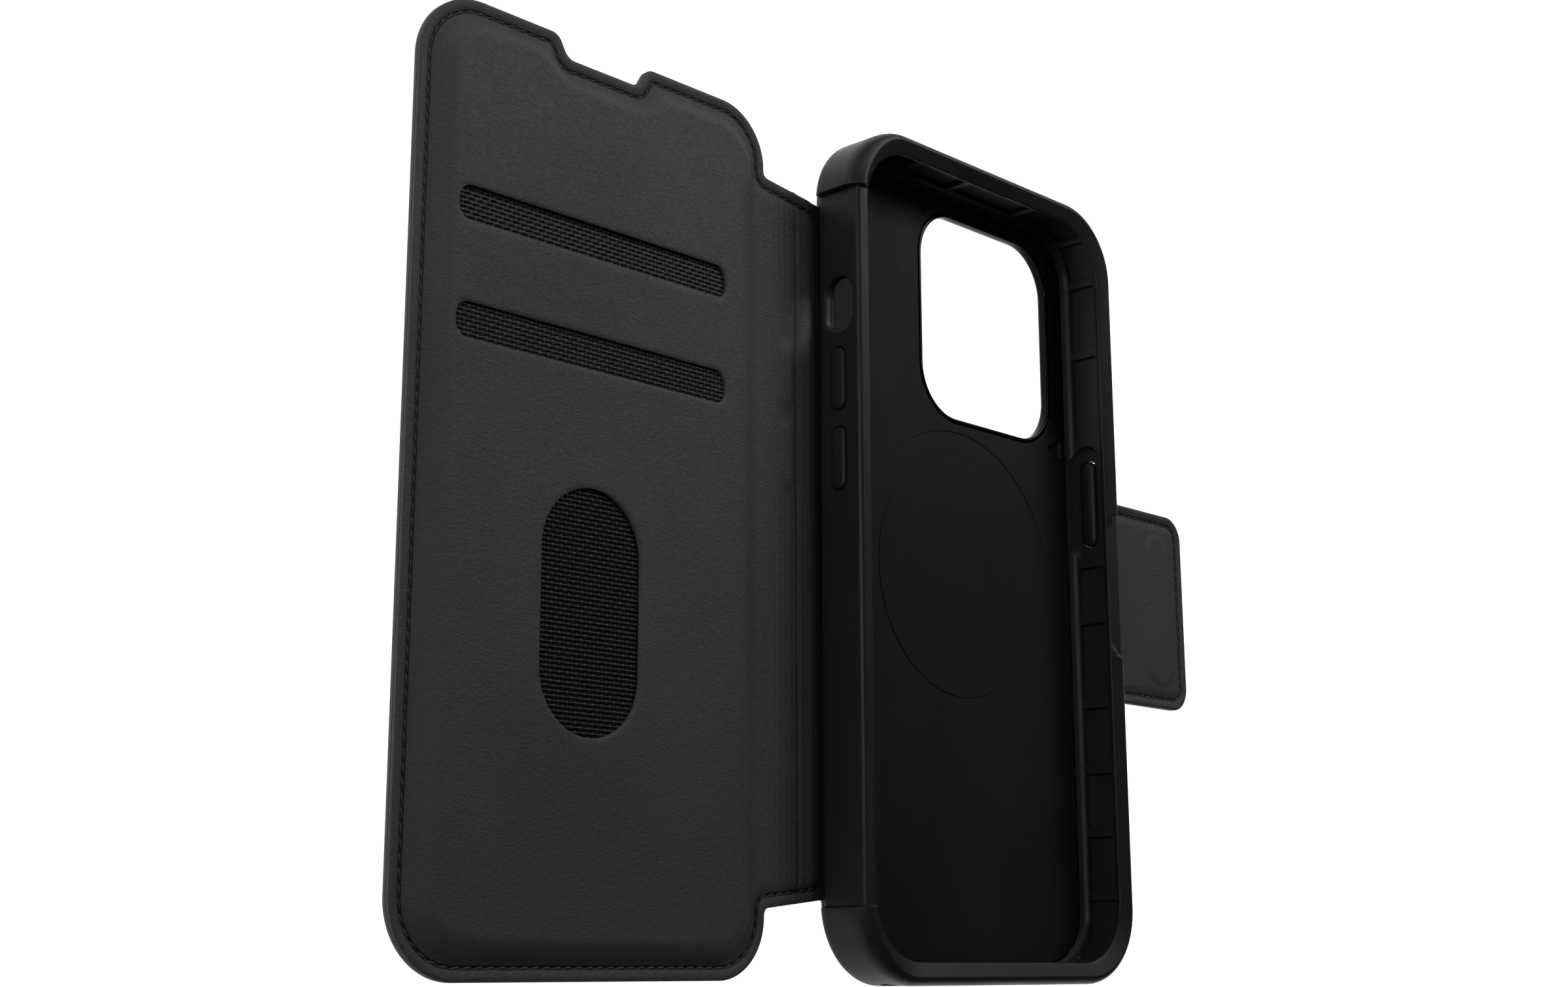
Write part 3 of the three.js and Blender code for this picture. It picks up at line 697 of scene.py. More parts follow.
def crease(x, y):
    """Depth of the spine's embossed crease lines."""
    total = sum(np.exp(-(((x - line) / 0.25) ** 2)) for line in CREASES)
    smooth_zone = smooth(np.abs(y - 23.6), 15.5, 18.5)
    ends = 1 - smooth(np.abs(y), 58.5, 61.5)
    return CREASE_DEPTH * total * smooth_zone * ends


def pads(x, y):
    """Rise of the spine's pads over the volume keys."""
    found = [-rectangle_distance(x, y, -45.6, centre, 1.95, 5.95, 1.9) for centre in PADS]
    return sum(0.36 * smooth(d, -0.25, 0.95) for d in found)


def seam_pull(x, y, distance, path_distance):
    """The stitches pull the leather down, so its border rises from them to a rounded edge."""
    groove_and_shade = 0.09 * np.exp(-((path_distance / 0.36) ** 2))
    dip = 0.36 * np.clip(1 - path_distance / 1.7, 0, 1)
    raised = 0.1 * smooth(2.4 - distance, 0, 1.6)
    rounding = 0.16 * (1 - smooth(distance, 0.0, 0.55))
    return groove_and_shade + dip - raised + rounding


def gutter(x):
    """The lining dips where the spine meets the shell."""
    return 0.3 * smooth(x, -39.6, -37.9) * (1 - smooth(x, -36.5, -34))


def pulled_back(edge, seam):
    """How far the seam pulls in the outer face of the leather."""
    return lambda x, y: seam_pull(x, y, edge(x, y), seam(x, y)) * 0.6


def sewn_masks(edge, seam, hinge=True):
    """Painted shade along the stitch grooves and in a strip under the shell's wall, and worn edges.
    """

    def groove_and_shade(x, y, z):
        # painted shade: a near-black band along the stitch line, where the leather dips round the
        # thread
        line = 1 - smooth(seam(x, y), 0.28, 0.44)
        # painted shade: a dark strip on the leather under the shell's wall
        painted_wall_shade = 0.2 * smooth(x, -39.8, -38.2) + 0.65 * smooth(x, -38.2, -37.8)
        return np.maximum(line, painted_wall_shade) if hinge else line

    def worn(x, y, z):
        return (1 - smooth(edge(x, y), 0.12, 0.62)) * 0.35

    return {"groove_and_shade": groove_and_shade, "edge": worn}


# ---- stitching

SEAM_LINES = (-0.44, -0.3, -0.16, 0, 0.16, 0.3, 0.44)


def seam_lines(seam):
    """Rows of mesh points beside a seam, where the leather dips."""
    return [offset_open(seam, distance)[::2] for distance in SEAM_LINES]


def resample(path, pitch):
    """Points and directions every pitch along an open path, ends left free."""
    steps = np.linalg.norm(np.diff(path, axis=0), axis=1)
    length = np.concatenate(([0], np.cumsum(steps)))
    count = int(length[-1] // pitch)
    at = (length[-1] - count * pitch) / 2 + (np.arange(count) + 0.5) * pitch
    points, ahead, behind = (
        np.column_stack([np.interp(at + shift, length, path[:, k]) for k in (0, 1)])
        for shift in (0, 0.3, -0.3)
    )
    along = ahead - behind
    return points, along / np.linalg.norm(along, axis=1)[:, None]


def stitches(name, path, surface, side):
    """One lens-shaped stitch of thread after another; side is 1 on top, -1 underneath."""
    around, stations, tilt = 8, 7, 0.14
    length, width, height = 1.9, 0.33, 0.2 if side > 0 else 0.24
    cos, sin = math.cos(tilt), math.sin(tilt)
    stitch = stack_faces(stations, around, caps=True)
    verts, faces = [], []
    for (px, py), (dx, dy) in zip(*resample(path, PITCH)):
        tx, ty = dx * cos - dy * sin, dx * sin + dy * cos
        base = len(verts)
        z_here = float(surface(np.array([px]), np.array([py]))[0])
        for i in range(stations):
            t = -1 + 2 * i / (stations - 1)
            swell = max(0.16, (1 - abs(t) ** 2.4) ** 0.5)
            sink = 0.16 * t * t
            for k in range(around):
                a = 2 * math.pi * k / around + 0.7 * t
                across = math.cos(a) * width / 2 * swell
                up = math.sin(a) * height / 2 * swell
                x = px + tx * t * length / 2 - ty * across
                y = py + ty * t * length / 2 + tx * across
                verts.append((x, y, z_here + side * (0.09 - sink + up)))
        faces.extend([base + v for v in face][::side] for face in stitch)
    return make_object(name, verts, faces, THREAD, 60)


def sew(name, path, top, outside, number=""):
    """Stitches along a path on both faces of the leather."""
    pair = [
        stitches(f"{name}_inner_stitches{number}", path, top, 1),
        stitches(f"{name}_outer_stitches{number}", path, outside, -1),
    ]
    return pair


# ---- cover and spine leather


def sewn_corners():
    """Corners of the cover's stitch line, from the seam on the spine all the way round."""
    d = STITCH_INSET
    edge, far = FOLD["cover"] - d, COVER_EDGE + d
    start, turn = neck_half(SEAM_X) - d, neck_half(edge) - d
    end, floor = COVER_END - d, NOTCH_FLOOR - d
    return [
        (SEAM_X, start, 0),
        (edge + 0.25, turn, 2.6),
        (edge, end, 8.2),
        (NOTCH[0][0] + 1.25, end, 1.2),
        (NOTCH[1][0] + 1.25, floor, 3.4),
        (NOTCH[2][0] - 1.25, floor, 3.4),
        (NOTCH[3][0] - 1.25, end, 1.2),
        (far, end, 10),
        (far, -end, 10),
        (edge, -end, 8.2),
        (edge + 0.25, -turn, 2.6),
        (SEAM_X, -start, 0),
    ]


cover_seam = rounded_path(sewn_corners(), 0.25, closed=False)
cover_seam_distance = Distance(cover_seam, closed=False)


def cover_top(x, y):
    drop = seam_pull(x, y, edge_distance(x, y), cover_seam_distance(x, y))
    rim = 0.08 * np.exp(-((hole_distance(x, y) / 0.45) ** 2)) * (x < -55)
    height = FLAT + pillow(x, y) + pads(x, y) - crease(x, y)
    return height - drop - rim


def cover_under(x, y):
    return LINING_LOW + pillow(x, y) * 0.92


def flat_height(z):
    return lambda x, y: np.full(len(x), z)


def cover_net():
    """Mesh points of the cover lining: close together only where the surface bends."""
    coarse = net(-126, -52, -76, 76, 2.2)
    coarse = coarse[(edge_distance(*coarse.T) >= 9) & (hole_distance(*coarse.T) > 2.3)]
    coarse = coarse[coarse[:, 0] < -52]
    fine = net(-126, -51, -76, 76, 0.62)
    fine = fine[(edge_distance(*fine.T) < 8.6) | (hole_distance(*fine.T) < 1.9)]
    fine = fine[(cover_seam_distance(*fine.T) > 0.58) & (fine[:, 0] < -52.2)]
    spine = net(-52, SEAM_X, -64, 64, 0.24, 0.9)
    spine = spine[(cover_seam_distance(*spine.T) > 0.5) & (spine[:, 0] < SEAM_X - 0.5)]
    return np.concatenate([coarse, fine, spine, *seam_lines(cover_seam)])


def seam_columns(side):
    """Mesh points close to the butt joint on the spine, where the margin keeps others away."""
    y = np.arange(-60.2, 60.3, 0.9)
    columns = [np.column_stack((np.full(len(y), SEAM_X + side * k), y)) for k in (0.14, 0.3)]
    return np.concatenate(columns)


def skin_points():
    """Mesh points of the cover's outer face and, fewer, of its hidden one."""
    coarse = net(-126, SEAM_X, -76, 76, 2.0)
    coarse = coarse[(edge_distance(*coarse.T) > 4) & (coarse[:, 0] < -55.5)]
    fine = net(-126, SEAM_X, -76, 76, 0.7)
    fine = fine[(edge_distance(*fine.T) < 3.4) | (fine[:, 0] > -55)]
    fine = fine[cover_seam_distance(*fine.T) > 0.6]
    close = np.concatenate([coarse, fine, *seam_lines(cover_seam)])
    few = keep_inside(net(-126, SEAM_X, -76, 76, 3.0), [cover_outline], 1.5)
    return few, keep_inside(close, [cover_outline], 0.5)


def build_cover():
    top_points = np.concatenate([keep_inside(cover_net(), cover_loops, 0.42), seam_columns(-1)])
    under = keep_inside(net(-126, SEAM_X, -76, 76, 2.4), cover_loops, 1.2)
    masks = sewn_masks(edge_distance, cover_seam_distance)
    outside = pulled_back(edge_distance, cover_seam_distance)
    lining = sheet(
        "cover_lining_leather", cover_loops, (cover_top, cover_under), 0.2,
        (top_points, under), LINING, masks, butt=SEAM_X,
    )
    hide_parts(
        "cover_lining", "spine_lining", "spine_pad_volume_up", "spine_pad_volume_down"
    )
    skin = sheet(
        "cover_outer_skin", [cover_outline], (flat_height(SKIN_TOP), outside), 0.24,
        skin_points(), OUTER, masks, butt=SEAM_X,
    )
    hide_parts("cover_outer_leather", "spine_outer_leather")
    inner, back = sew("cover", cover_seam, cover_top, outside)
    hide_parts("cover_stitching", "spine_stitching_top", "spine_stitching_bottom")
    for piece in (lining, skin, inner, back):
        bend(piece, "cover", "spine", "cover", 2.3)


def bend(piece, body_a, body_b, fold, reach):
    """Bakes the piece's transform into its mesh. body_a, body_b, fold and reach are not used."""
    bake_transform(piece)


build_cover()


# ---- leather under the shell


def leather_pair(names, nodes, loops, heights, points, masks, butt):
    """A lining over an outer skin of the same outline. points: close ones and a few."""
    (top, outside), (close, few) = heights, points
    faces = (top, flat_height(LINING_LOW)), (flat_height(SKIN_TOP), outside)
    lining = sheet(names[0], loops, faces[0], 0.2, (close, few), LINING, masks, butt=butt)
    skin = sheet(names[1], loops, faces[1], 0.24, (few, close), OUTER, masks, butt=butt)
    for piece, node, slot in ((lining, nodes[0], "lining"), (skin, nodes[1], "outer_leather")):
        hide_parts(node)
    return [lining, skin]


def build_back():
    distance = free_edge_distance(back_outline)
    loops = [back_outline, camera_loop(3.6)[::-1]]
    seams = []
    for side in (1, -1):
        ends = np.array([(x, side * (neck_half(x) - STITCH_INSET)) for x in (SEAM_X, -37.9)])
        seams.append(densify(ends if side < 0 else ends[::-1], 0.25, closed=False))
    seam_distance = Distance(np.concatenate(seams), closed=False)
    pulled = pulled_back(distance, seam_distance)

    def top(x, y):
        drop = seam_pull(x, y, distance(x, y), seam_distance(x, y)) * (x < -36)
        ridge = crease(x, y) * (x < -40.2)
        return FLAT - ridge - drop - gutter(x)

    def outside(x, y):
        return pulled(x, y) * (x < -38)

    strip = net(SEAM_X, -36, -63, 63, 0.3, 0.9)
    strip = strip[(strip[:, 0] > SEAM_X + 0.45) & (seam_distance(*strip.T) > 0.55)]
    rest = net(-36, 38, -76, 76, 3.0)
    lines = [line for seam in seams for line in seam_lines(seam)]
    close = keep_inside(np.concatenate([strip, rest, *lines]), loops, 0.3)
    close = np.concatenate([close, seam_columns(1)])
    made = leather_pair(
        ("back_inner_skin", "back_outer_skin"), ("back_inner_leather", "back_outer_leather"),
        loops, (top, outside), (close, keep_inside(rest, loops, 1.2)),
        sewn_masks(distance, seam_distance), SEAM_X,
    )
    for number, seam in enumerate(seams):
        made += sew("spine", seam, top, outside, f"_{number + 1}")
    for piece in made:
        bend(piece, "shell", "spine", "spine", 1.7)


build_back()


# ---- latch strap and tab

STRAP_SEAM = 46.6


def tongue(x0, x1, half, corner):
    """Corners of a strip from x0 to its rounded end at x1."""
    return [(x0, -half, 0), (x1, -half, corner), (x1, half, corner), (x0, half, 0)]


def build_latch():
    half, end, corner = TAB["half"], TAB["end"], TAB["corner"]
    edge = rounded_path(tongue(37, end, half, corner), 0.4, closed=False)
    distance = Distance(edge, closed=False)
    run = tongue(38.4, end - STITCH_INSET, half - STITCH_INSET, 3)
    seam = rounded_path(run, 0.25, closed=False)
    seam_distance = Distance(seam, closed=False)
    outside = pulled_back(distance, seam_distance)
    emboss = (EMBOSS["x"], 0, *EMBOSS["half"], EMBOSS["half"][0] - 0.01)

    def top(x, y):
        drop = seam_pull(x, y, distance(x, y), seam_distance(x, y))
        depth = -rectangle_distance(x, y, *emboss)
        return FLAT + 0.26 * smooth(depth, -0.55, 0.75) - drop

    masks = sewn_masks(distance, seam_distance, hinge=False)
    lines = np.concatenate(seam_lines(seam))
    below, above = seam[:, 1] < 0, seam[:, 1] > 0
    on_strap = (seam[:, 0] >= 37) & (seam[:, 0] <= STRAP_SEAM)
    on_tab = (seam[:, 0] >= STRAP_SEAM) & (seam[:, 0] <= 90)
    parts = (
        ("strap", (37.6, STRAP_SEAM), 0, ("shell", "strap", "strap", 1.1), {
            "strap_stitching_bottom": on_strap & below, "strap_stitching_top": on_strap & above,
        }),
        ("tab", (STRAP_SEAM, end), corner, ("strap", "tab", "tab", 1.6), {
            "tab_stitching": on_tab,
        }),
    )
    for name, reach, radius, fold, runs in parts:
        outline = rounded_path(tongue(*reach, half, radius), 0.7)
        points = net(*reach, -half, half, 0.6)
        close = keep_inside(points[seam_distance(*points.T) > 0.5], [outline], 0.4)
        close = np.concatenate([close, keep_inside(lines, [outline], 0.4)])
        pieces = leather_pair(
            (f"{name}_lining_skin", f"{name}_outer_skin"),
            (f"{name}_lining", f"{name}_outer_leather"), [outline], (top, outside),
            (close, keep_inside(points[::7], [outline], 0.8)), masks, STRAP_SEAM,
        )
        for i, (node, chosen) in enumerate(runs.items()):
            made = sew(name, seam[chosen], top, outside, f"_{i + 1}")
            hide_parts(node)
            pieces += made
        for piece in pieces:
            bend(piece, *fold)


build_latch()


# ---- woven pocket sheets

YARN = 0.87
ROW = 0.75
WARP_HALF, WEFT_HALF = 0.42, 0.29


def weave(x, y):
    """Height of a plain weave above its lowest point, and a painted shade mask: the shadow in the
    gaps below its weft floats, the sides of the warp floats and, fainter, the warp floats.
    """
    u, v = x / YARN, y / ROW
    i, j = np.round(u), np.round(v)
    du, dv = u - i, v - j
    over = np.where((i + j) % 2 == 0, 1.0, -1.0)
    below = np.where(over < 0, -dv, 1 - dv)
    # the dip below each weft float, lowered in the relief and painted as its shadow
    gap = smooth(below, 0.22, 0.3) * (1 - smooth(below, 0.5, 0.62))
    gap = gap * (1 - smooth(np.abs(du), 0.34, 0.48))
    yarns = ((du, WARP_HALF), (dv, WEFT_HALF))
    crowns = [np.sqrt(np.clip(1 - (d / half) ** 2, 0, 1)) for d, half in yarns]
    warp = over * 0.14 * np.cos(np.pi * dv) + 0.12 * crowns[0]
    weft = -over * 0.17 * np.cos(np.pi * du) + 0.16 * crowns[1]
    warp = np.where(np.abs(du) < WARP_HALF, warp, -0.3)
    weft = np.where(np.abs(dv) < WEFT_HALF, weft, -0.3)
    # painted shade: the sides of the warp floats, and the warp floats themselves a little darker
    side = (over > 0) * smooth(np.abs(du), 0.27, 0.4)
    dark = np.maximum(gap, np.maximum(0.75 * side, 0.2 * (over > 0)))
    return np.maximum(warp, weft) - 0.2 * gap, dark


def woven(name, node, patches, top):
    """A woven sheet of real yarn relief, in patches where it shows, with painted shade in its gaps
    and hollows.
    """
    verts, faces, painted_shade_levels = [], [], []
    low = top - 0.36
    for x0, x1, y0, y1, shade_level in patches:
        xs = np.arange(x0, x1 + 0.01, YARN / 6)
        ys = np.arange(y0, y1 + 0.01, ROW / 6)
        gx, gy = np.meshgrid(xs, ys)
        relief, gap = weave(gx.ravel(), gy.ravel())
        border = (gx == xs[0]) | (gx == xs[-1]) | (gy == ys[0]) | (gy == ys[-1])
        z = np.where(border.ravel(), low, top - 0.3 + relief)
        ids = np.arange(len(xs) * len(ys)).reshape(len(ys), len(xs)) + len(verts)
        verts.extend(np.column_stack((gx.ravel(), gy.ravel(), z)).tolist())
        # painted shade: the gaps and low parts of the weave, and the whole patch at its shade level
        hollow_shade = np.maximum(gap, smooth(-relief, -0.08, 0.1))
        painted_shade_levels.extend((shade_level + (1 - shade_level) * hollow_shade).tolist())
        quads = np.stack((ids[:-1, :-1], ids[:-1, 1:], ids[1:, 1:], ids[1:, :-1]), -1)
        faces.extend(quads.reshape(-1, 4).tolist())
        rim = np.concatenate((ids[0], ids[1:, -1], ids[-1, -2::-1], ids[-2:0:-1, 0]))
        faces.append(rim[::-1].tolist())
    piece = make_object(name, verts, faces, MESH, 75, {"groove_and_shade": painted_shade_levels})
    settle(piece, "cover", node)


def build_meshes():
    x0, x1 = (SLOTS[0][0] + side * (SLOT["half"][0] + 1.6) for side in (-1, 1))
    woven("pocket_back_weave", "pocket_back_mesh", [(x0, x1, 35.2, 47.5, 0.0)], 2.35)
    # the window patch is darkened all over at 0.72 as painted shade; the slot patches only in their
    # gaps
    patches = [(x0, x1, 16.6, 28.6, 0.0), (-103.4, -78.2, -41.5, 3.2, 0.72)]
    woven("pocket_divider_weave", "pocket_divider_mesh", patches, 2.5)


build_meshes()


# ---- shell bumper

OUTER_SIZES = (38.65, 76.3, 14.0)
LIP = (35.0, 72.4, 11.6)
CAVITY = (35.45, 73.45, 11.0)
FOOT = (36.2, 74.2, 11.75)
SIDE_Y, END_X = 64.5, 25.0
GUARD_Y = 63.3
RIBS_RIGHT = (62.9, 47.9, 29.8, 4.8, -6.5, -23.1, -35.9, -48.0, -60.0)
RIBS_LEFT = (62.9, 50.5, 33.6, 21.0, -6.5, -23.1, -35.9, -48.0, -60.0)
RIBS_TOP = (-17.5, -3.1, 17.0)
LIP_EDGE = 11.86
EARPIECE_X = -1.7
POCKET_DEPTH = 0.9
WALL_LEVELS = (10.5, 10.36, 10.24, 10.1, 9.8, 9.0, 8.0, 7.0, 6.0, 5.2, 4.86, 4.7, 4.56, 4.42)


def stops(low, high, base, features):
    """Values from low to high, base apart, closer round each feature (centre, reach, step)."""
    values = [np.linspace(low, high, int((high - low) / base) + 2)]
    for centre, reach, step in features:
        values.append(np.arange(centre - reach, centre + reach + 1e-9, step))
    merged = np.unique(np.clip(np.concatenate(values), low, high))
    kept = [merged[0]]
    for v in merged[1:-1]:
        if v - kept[-1] > 0.075 and merged[-1] - v > 0.075:
            kept.append(v)
    kept.append(merged[-1])
    return np.array(kept)


def bumper_columns():
    """Stations round the bumper, counterclockwise: side (R, TR, T, TL, L, BL, B, BR) and place."""
    rib_edges = lambda ribs: [(y + s * 0.85, 0.36, 0.12) for y in ribs for s in (-1, 1)]
    right = rib_edges(RIBS_RIGHT) + [(s * 14.2, 2.6, 0.25) for s in (-1, 1)] + [(17, 14, 0.7)]
    left = rib_edges(RIBS_LEFT) + [(s * GUARD_Y, 0.7, 0.1) for s in (-1, 1)]
    top = rib_edges(RIBS_TOP) + [(EARPIECE_X + s * 8.2, 1.4, 0.2) for s in (-1, 1)]
    corner = np.linspace(0, 1, 46)[1:-1]
    parts = [
        stops(-SIDE_Y, SIDE_Y, 1.3, right), corner, stops(-END_X, END_X, 1.3, top)[::-1], corner,
        stops(-SIDE_Y, SIDE_Y, 1.3, left)[::-1], corner, stops(-END_X, END_X, 1.3, []), corner,
    ]
    kinds = np.concatenate([np.full(len(v), k) for k, v in enumerate(parts)])
    return kinds, np.concatenate(parts)


def ring_points(kinds, values, half_width, half_length, corner):
    """Points of one ring at every station; its sizes may change from station to station."""
    cx, cy = half_width - corner, half_length - corner
    x, y = np.zeros(len(kinds)), np.zeros(len(kinds))
    for side, sign in ((0, 1), (4, -1)):
        m = kinds == side
        past = np.maximum(np.abs(values[m]) - cy[m], 0)
        x[m] = sign * (cx[m] + np.sqrt(corner[m] ** 2 - past**2))
        y[m] = values[m]
    for side, sign in ((2, 1), (6, -1)):
        m = kinds == side
        past = np.maximum(np.abs(values[m]) - cx[m], 0)
        y[m] = sign * (cy[m] + np.sqrt(corner[m] ** 2 - past**2))
        x[m] = values[m]
    for side, (sx, sy) in ((1, (1, 1)), (3, (-1, 1)), (5, (-1, -1)), (7, (1, -1))):
        m = kinds == side
        low = np.arcsin(np.clip((SIDE_Y - cy[m]) / corner[m], -1, 1))
        high = np.arccos(np.clip((END_X - cx[m]) / corner[m], -1, 1))
        share = values[m] if side in (1, 5) else 1 - values[m]
        a = low + (high - low) * share
        x[m] = sx * (cx[m] + corner[m] * np.cos(a))
        y[m] = sy * (cy[m] + corner[m] * np.sin(a))
    return x, y


def grown(sizes, amount):
    return [size + amount for size in sizes]


def between(a, b, share):
    return [p + (q - p) * share for p, q in zip(a, b)]


def rib_share(kinds, values):
    """1 where the inner wall is solid, 0 where it has a cushioning pocket."""
    ribs = np.zeros(len(kinds))
    for side, places in ((0, RIBS_RIGHT), (4, RIBS_LEFT), (2, RIBS_TOP)):
        for place in places:
            near = np.where(kinds == side, np.abs(values - place), 99)
            ribs = np.maximum(ribs, 1 - smooth(near, 0.7, 1.0))
    corner_share = np.where(kinds % 2 == 1, np.abs(values - 0.5), 99)
    ribs = np.maximum(ribs, 1 - smooth(corner_share, 0.045, 0.065))
    solid = (kinds == 6) | ((kinds == 0) & (np.abs(values - 17) < 12.6))
    solid |= (kinds == 4) & (values > 5) & (values < 51)
    return np.where(solid, 1.0, ribs)


def dip_rim(verts, kinds):
    """Lowers the rim at the latch notch and at the earpiece."""
    x, y, z = verts[..., 0], verts[..., 1], verts[..., 2]
    limit = 16.0 - 4.0 * np.clip((OUTER_SIZES[0] - x) / (OUTER_SIZES[0] - LIP[0]), 0, 1)
    notch = np.where(kinds == 0, 1 - smooth(np.abs(y), limit - 1.3, limit), 0)
    z = z + (np.minimum(z, 11.84) - z) * notch
    inward = 1 - smooth(y - LIP[1], 0.2, 1.9)
    dip = np.where(kinds == 2, 1 - smooth(np.abs(x - EARPIECE_X), 6.4, 9.2), 0)
    verts[..., 2] = z - 0.2 * dip * inward * smooth(z, 11.2, 11.8)


def build_bumper():
    kinds, values = bumper_columns()
    count = len(kinds)
    from_side = np.where(kinds == 3, 1 - values, values)
    guard = np.where(np.isin(kinds, (3, 5)), 1 - smooth(from_side, 0.25, 0.95), 0.0)
    guard = np.where(kinds == 4, 1.0, guard)
    hinge = np.where(kinds == 4, 1 - smooth(np.abs(values), GUARD_Y - 0.22, GUARD_Y + 0.22), 0.0)
    ribs = rib_share(kinds, values)
    rows = []

    def mixed(normal, at_guard, at_hinge):
        value = normal + (at_guard - normal) * guard
        return value + (at_hinge - value) * hinge

    def row(sizes, z):
        x, y = ring_points(kinds, values, *[np.broadcast_to(s, (count,)) for s in sizes])
        rows.append(np.column_stack((x, y, np.broadcast_to(z, (count,)))))

    # underside, rounded foot and outer wall
    row(FOOT, 1.73)
    for k in range(6):
        a = math.pi / 2 * k / 5
        rest = 1 - math.sin(a)
        z = 1.72 + (1 - math.cos(a)) * mixed(1.5, 1.5, 0.8)
        row(grown(OUTER_SIZES, -mixed(1.6 * rest, 1.6 * rest, 1.35 + 0.95 * rest)), z)
    edge, low, start = mixed(0.0, 0.0, 1.35), mixed(3.22, 3.22, 2.52), mixed(10.9, 9.3, 10.75)
    for share in (0.12, 0.3, 0.5, 0.7, 0.88):
        row(grown(OUTER_SIZES, -edge), low + (start - low) * share)
    # rounded rim
    width, crest = mixed(1.45, 2.65, 0.75), mixed(12.83, 12.6, 11.68)
    for k in range(9):
        a = math.pi / 2 * k / 8
        amount = edge + width * (1 - math.cos(a))
        row(grown(OUTER_SIZES, -amount), start + (crest - start) * math.sin(a))
    # sloping lip face, its rounded inner edge and the lip's side
    crest_sizes = [size - edge - width for size in OUTER_SIZES]
    for share in (0.03, 0.35, 0.68, 0.92):
        row(between(crest_sizes, LIP, share), crest + (LIP_EDGE - crest) * share)
    for amount, z in ((0.05, 11.85), (0.0, 11.74), (0.0, 11.5), (0.0, 11.34), (0.07, 11.25)):
        row(grown(LIP, amount), z)
    row(between(LIP, CAVITY, 0.5), 11.0)
    row(between(LIP, CAVITY, 1.0), 10.72)
    # inner wall with cushioning pockets
    for z in WALL_LEVELS:
        open_share = float(smooth(np.array(z), 4.44, 4.72) * (1 - smooth(np.array(z), 10.12, 10.4)))
        row(grown(CAVITY, POCKET_DEPTH * (1 - ribs) * open_share), z)
    # sloping foot
    for amount, z in ((0.02, 4.2), (0.22, 3.75), (0.45, 3.45), (0.75, 3.15), (0.95, 3.02)):
        row(grown(CAVITY, -amount), z)
    row(grown(CAVITY, -1.0 - 0.22 * ribs), 2.96 - 0.1 * ribs * (kinds != 6))
    row(grown(CAVITY, -0.98), 2.82)
    row(FOOT, 2.8)

    verts = np.stack(rows)
    dip_rim(verts, kinds)
    # rows run across the section, stations run round the shell
    ids = np.arange(len(rows) * count).reshape(len(rows), count)
    up = np.roll(ids, -1, axis=0)
    quads = np.stack((ids, np.roll(ids, -1, axis=1), np.roll(up, -1, axis=1), up), -1)
    faces = quads.reshape(-1, 4).tolist()
    piece = make_object("bumper_shell", verts.reshape(-1, 3), faces, SHELL, 38)
    cut_openings(piece)
    settle(piece, "shell", "shell_bumper")


def stadiums(sections, place):
    """Stadium loops (depth, length, height); place turns (u, v, depth) into x, y, z."""
    loops = []
    for depth, length, height in sections:
        corner = min(length, height) / 2 - 0.001
        loop = even_rectangle(0, 0, length / 2, height / 2, corner, 10)
        loops.append(np.array([place(u, v, depth) for u, v in loop]))
    return loops


def flared(length, height, faces_at, past, flare=0.32):
    """Tool sections that round over where they leave the wall at its outer and inner face."""
    outer, inner = faces_at
    sign = 1 if inner > outer else -1
    steps = [
        (outer - sign * past, 2 * flare + 0.5),
        (outer - sign * 0.05, 2 * flare),
        (outer + sign * 0.08, flare * 1.1),
        (outer + sign * 0.2, flare * 0.45),
        (outer + sign * 0.36, 0.0),
        (inner - sign * 0.3, 0.0),
        (inner - sign * 0.12, flare * 0.5),
        (inner + sign * 0.02, flare * 1.2),
        (inner + sign * 0.9, flare * 1.6),
    ]
    return [(depth, length + grow, height + grow) for depth, grow in steps]


def cut_openings(piece):
    """Through openings for the mute switch, keys, port and speakers, and the power key's pocket."""
    side = lambda y, z: (lambda u, v, depth: (depth, y + u, z + v))
    end = lambda x, z: (lambda u, v, depth: (x + u, depth, z + v))
    left, right, bottom = (-37.3, -35.5), (38.65, 36.1), (-76.3, -73.5)
    pocket = [
        (34.5, 24.2, 7.4), (35.35, 23.6, 7.0), (35.6, 23.1, 6.6), (36.1, 22.7, 6.2),
        (36.25, 22.3, 5.9),
    ]
    tools = [
        (flared(10.2, 6.4, left, 3), side(42.0, 6.65)),
        (flared(11.7, 3.6, left, 3, 0.1), side(28.3, 6.5)),
        (flared(11.7, 3.6, left, 3, 0.1), side(13.8, 6.5)),
        (flared(17.8, 4.0, right, 3, 0.2), side(17.0, 7.1)),
        (pocket, side(17.1, 6.95)),
        (flared(14.0, 6.6, bottom, 3), end(0.0, 7.1)),
        (flared(13.5, 4.4, bottom, 3), end(21.0, 7.1)),
        (flared(13.5, 4.4, bottom, 3), end(-21.0, 7.1)),
    ]
    for sections, place in tools:
        apply_boolean(piece, rings("tool", stadiums(sections, place), SHELL))
    shade(piece, 38)


def apply_boolean(piece, tool):
    """Cuts tool out of piece and removes the tool."""
    modifier = piece.modifiers.new("cut", "BOOLEAN")
    modifier.operation = "DIFFERENCE"
    modifier.object = tool
    modifier.solver = "EXACT"
    graph = bpy.context.evaluated_depsgraph_get()
    made = bpy.data.meshes.new_from_object(piece.evaluated_get(graph))
    piece.modifiers.remove(modifier)
    piece.data = made
    bpy.data.objects.remove(tool)


build_bumper()


# ---- shell plate, ring and trim

PLATE_SIZES = (34.15, 72.15, 9.7)
RING = {"y": -1.65, "outer": 27.4, "inner": 23.0}
DENTS = [
    [(-9.1, 66.7), (-5.9, 70.7), (-9.8, 69.6)],
    [(27.9, 27.9), (32.9, 30.3), (33.0, 26.4)],
    [(30.6, 70.6), (32.6, 67.2), (33.2, 69.4)],
]


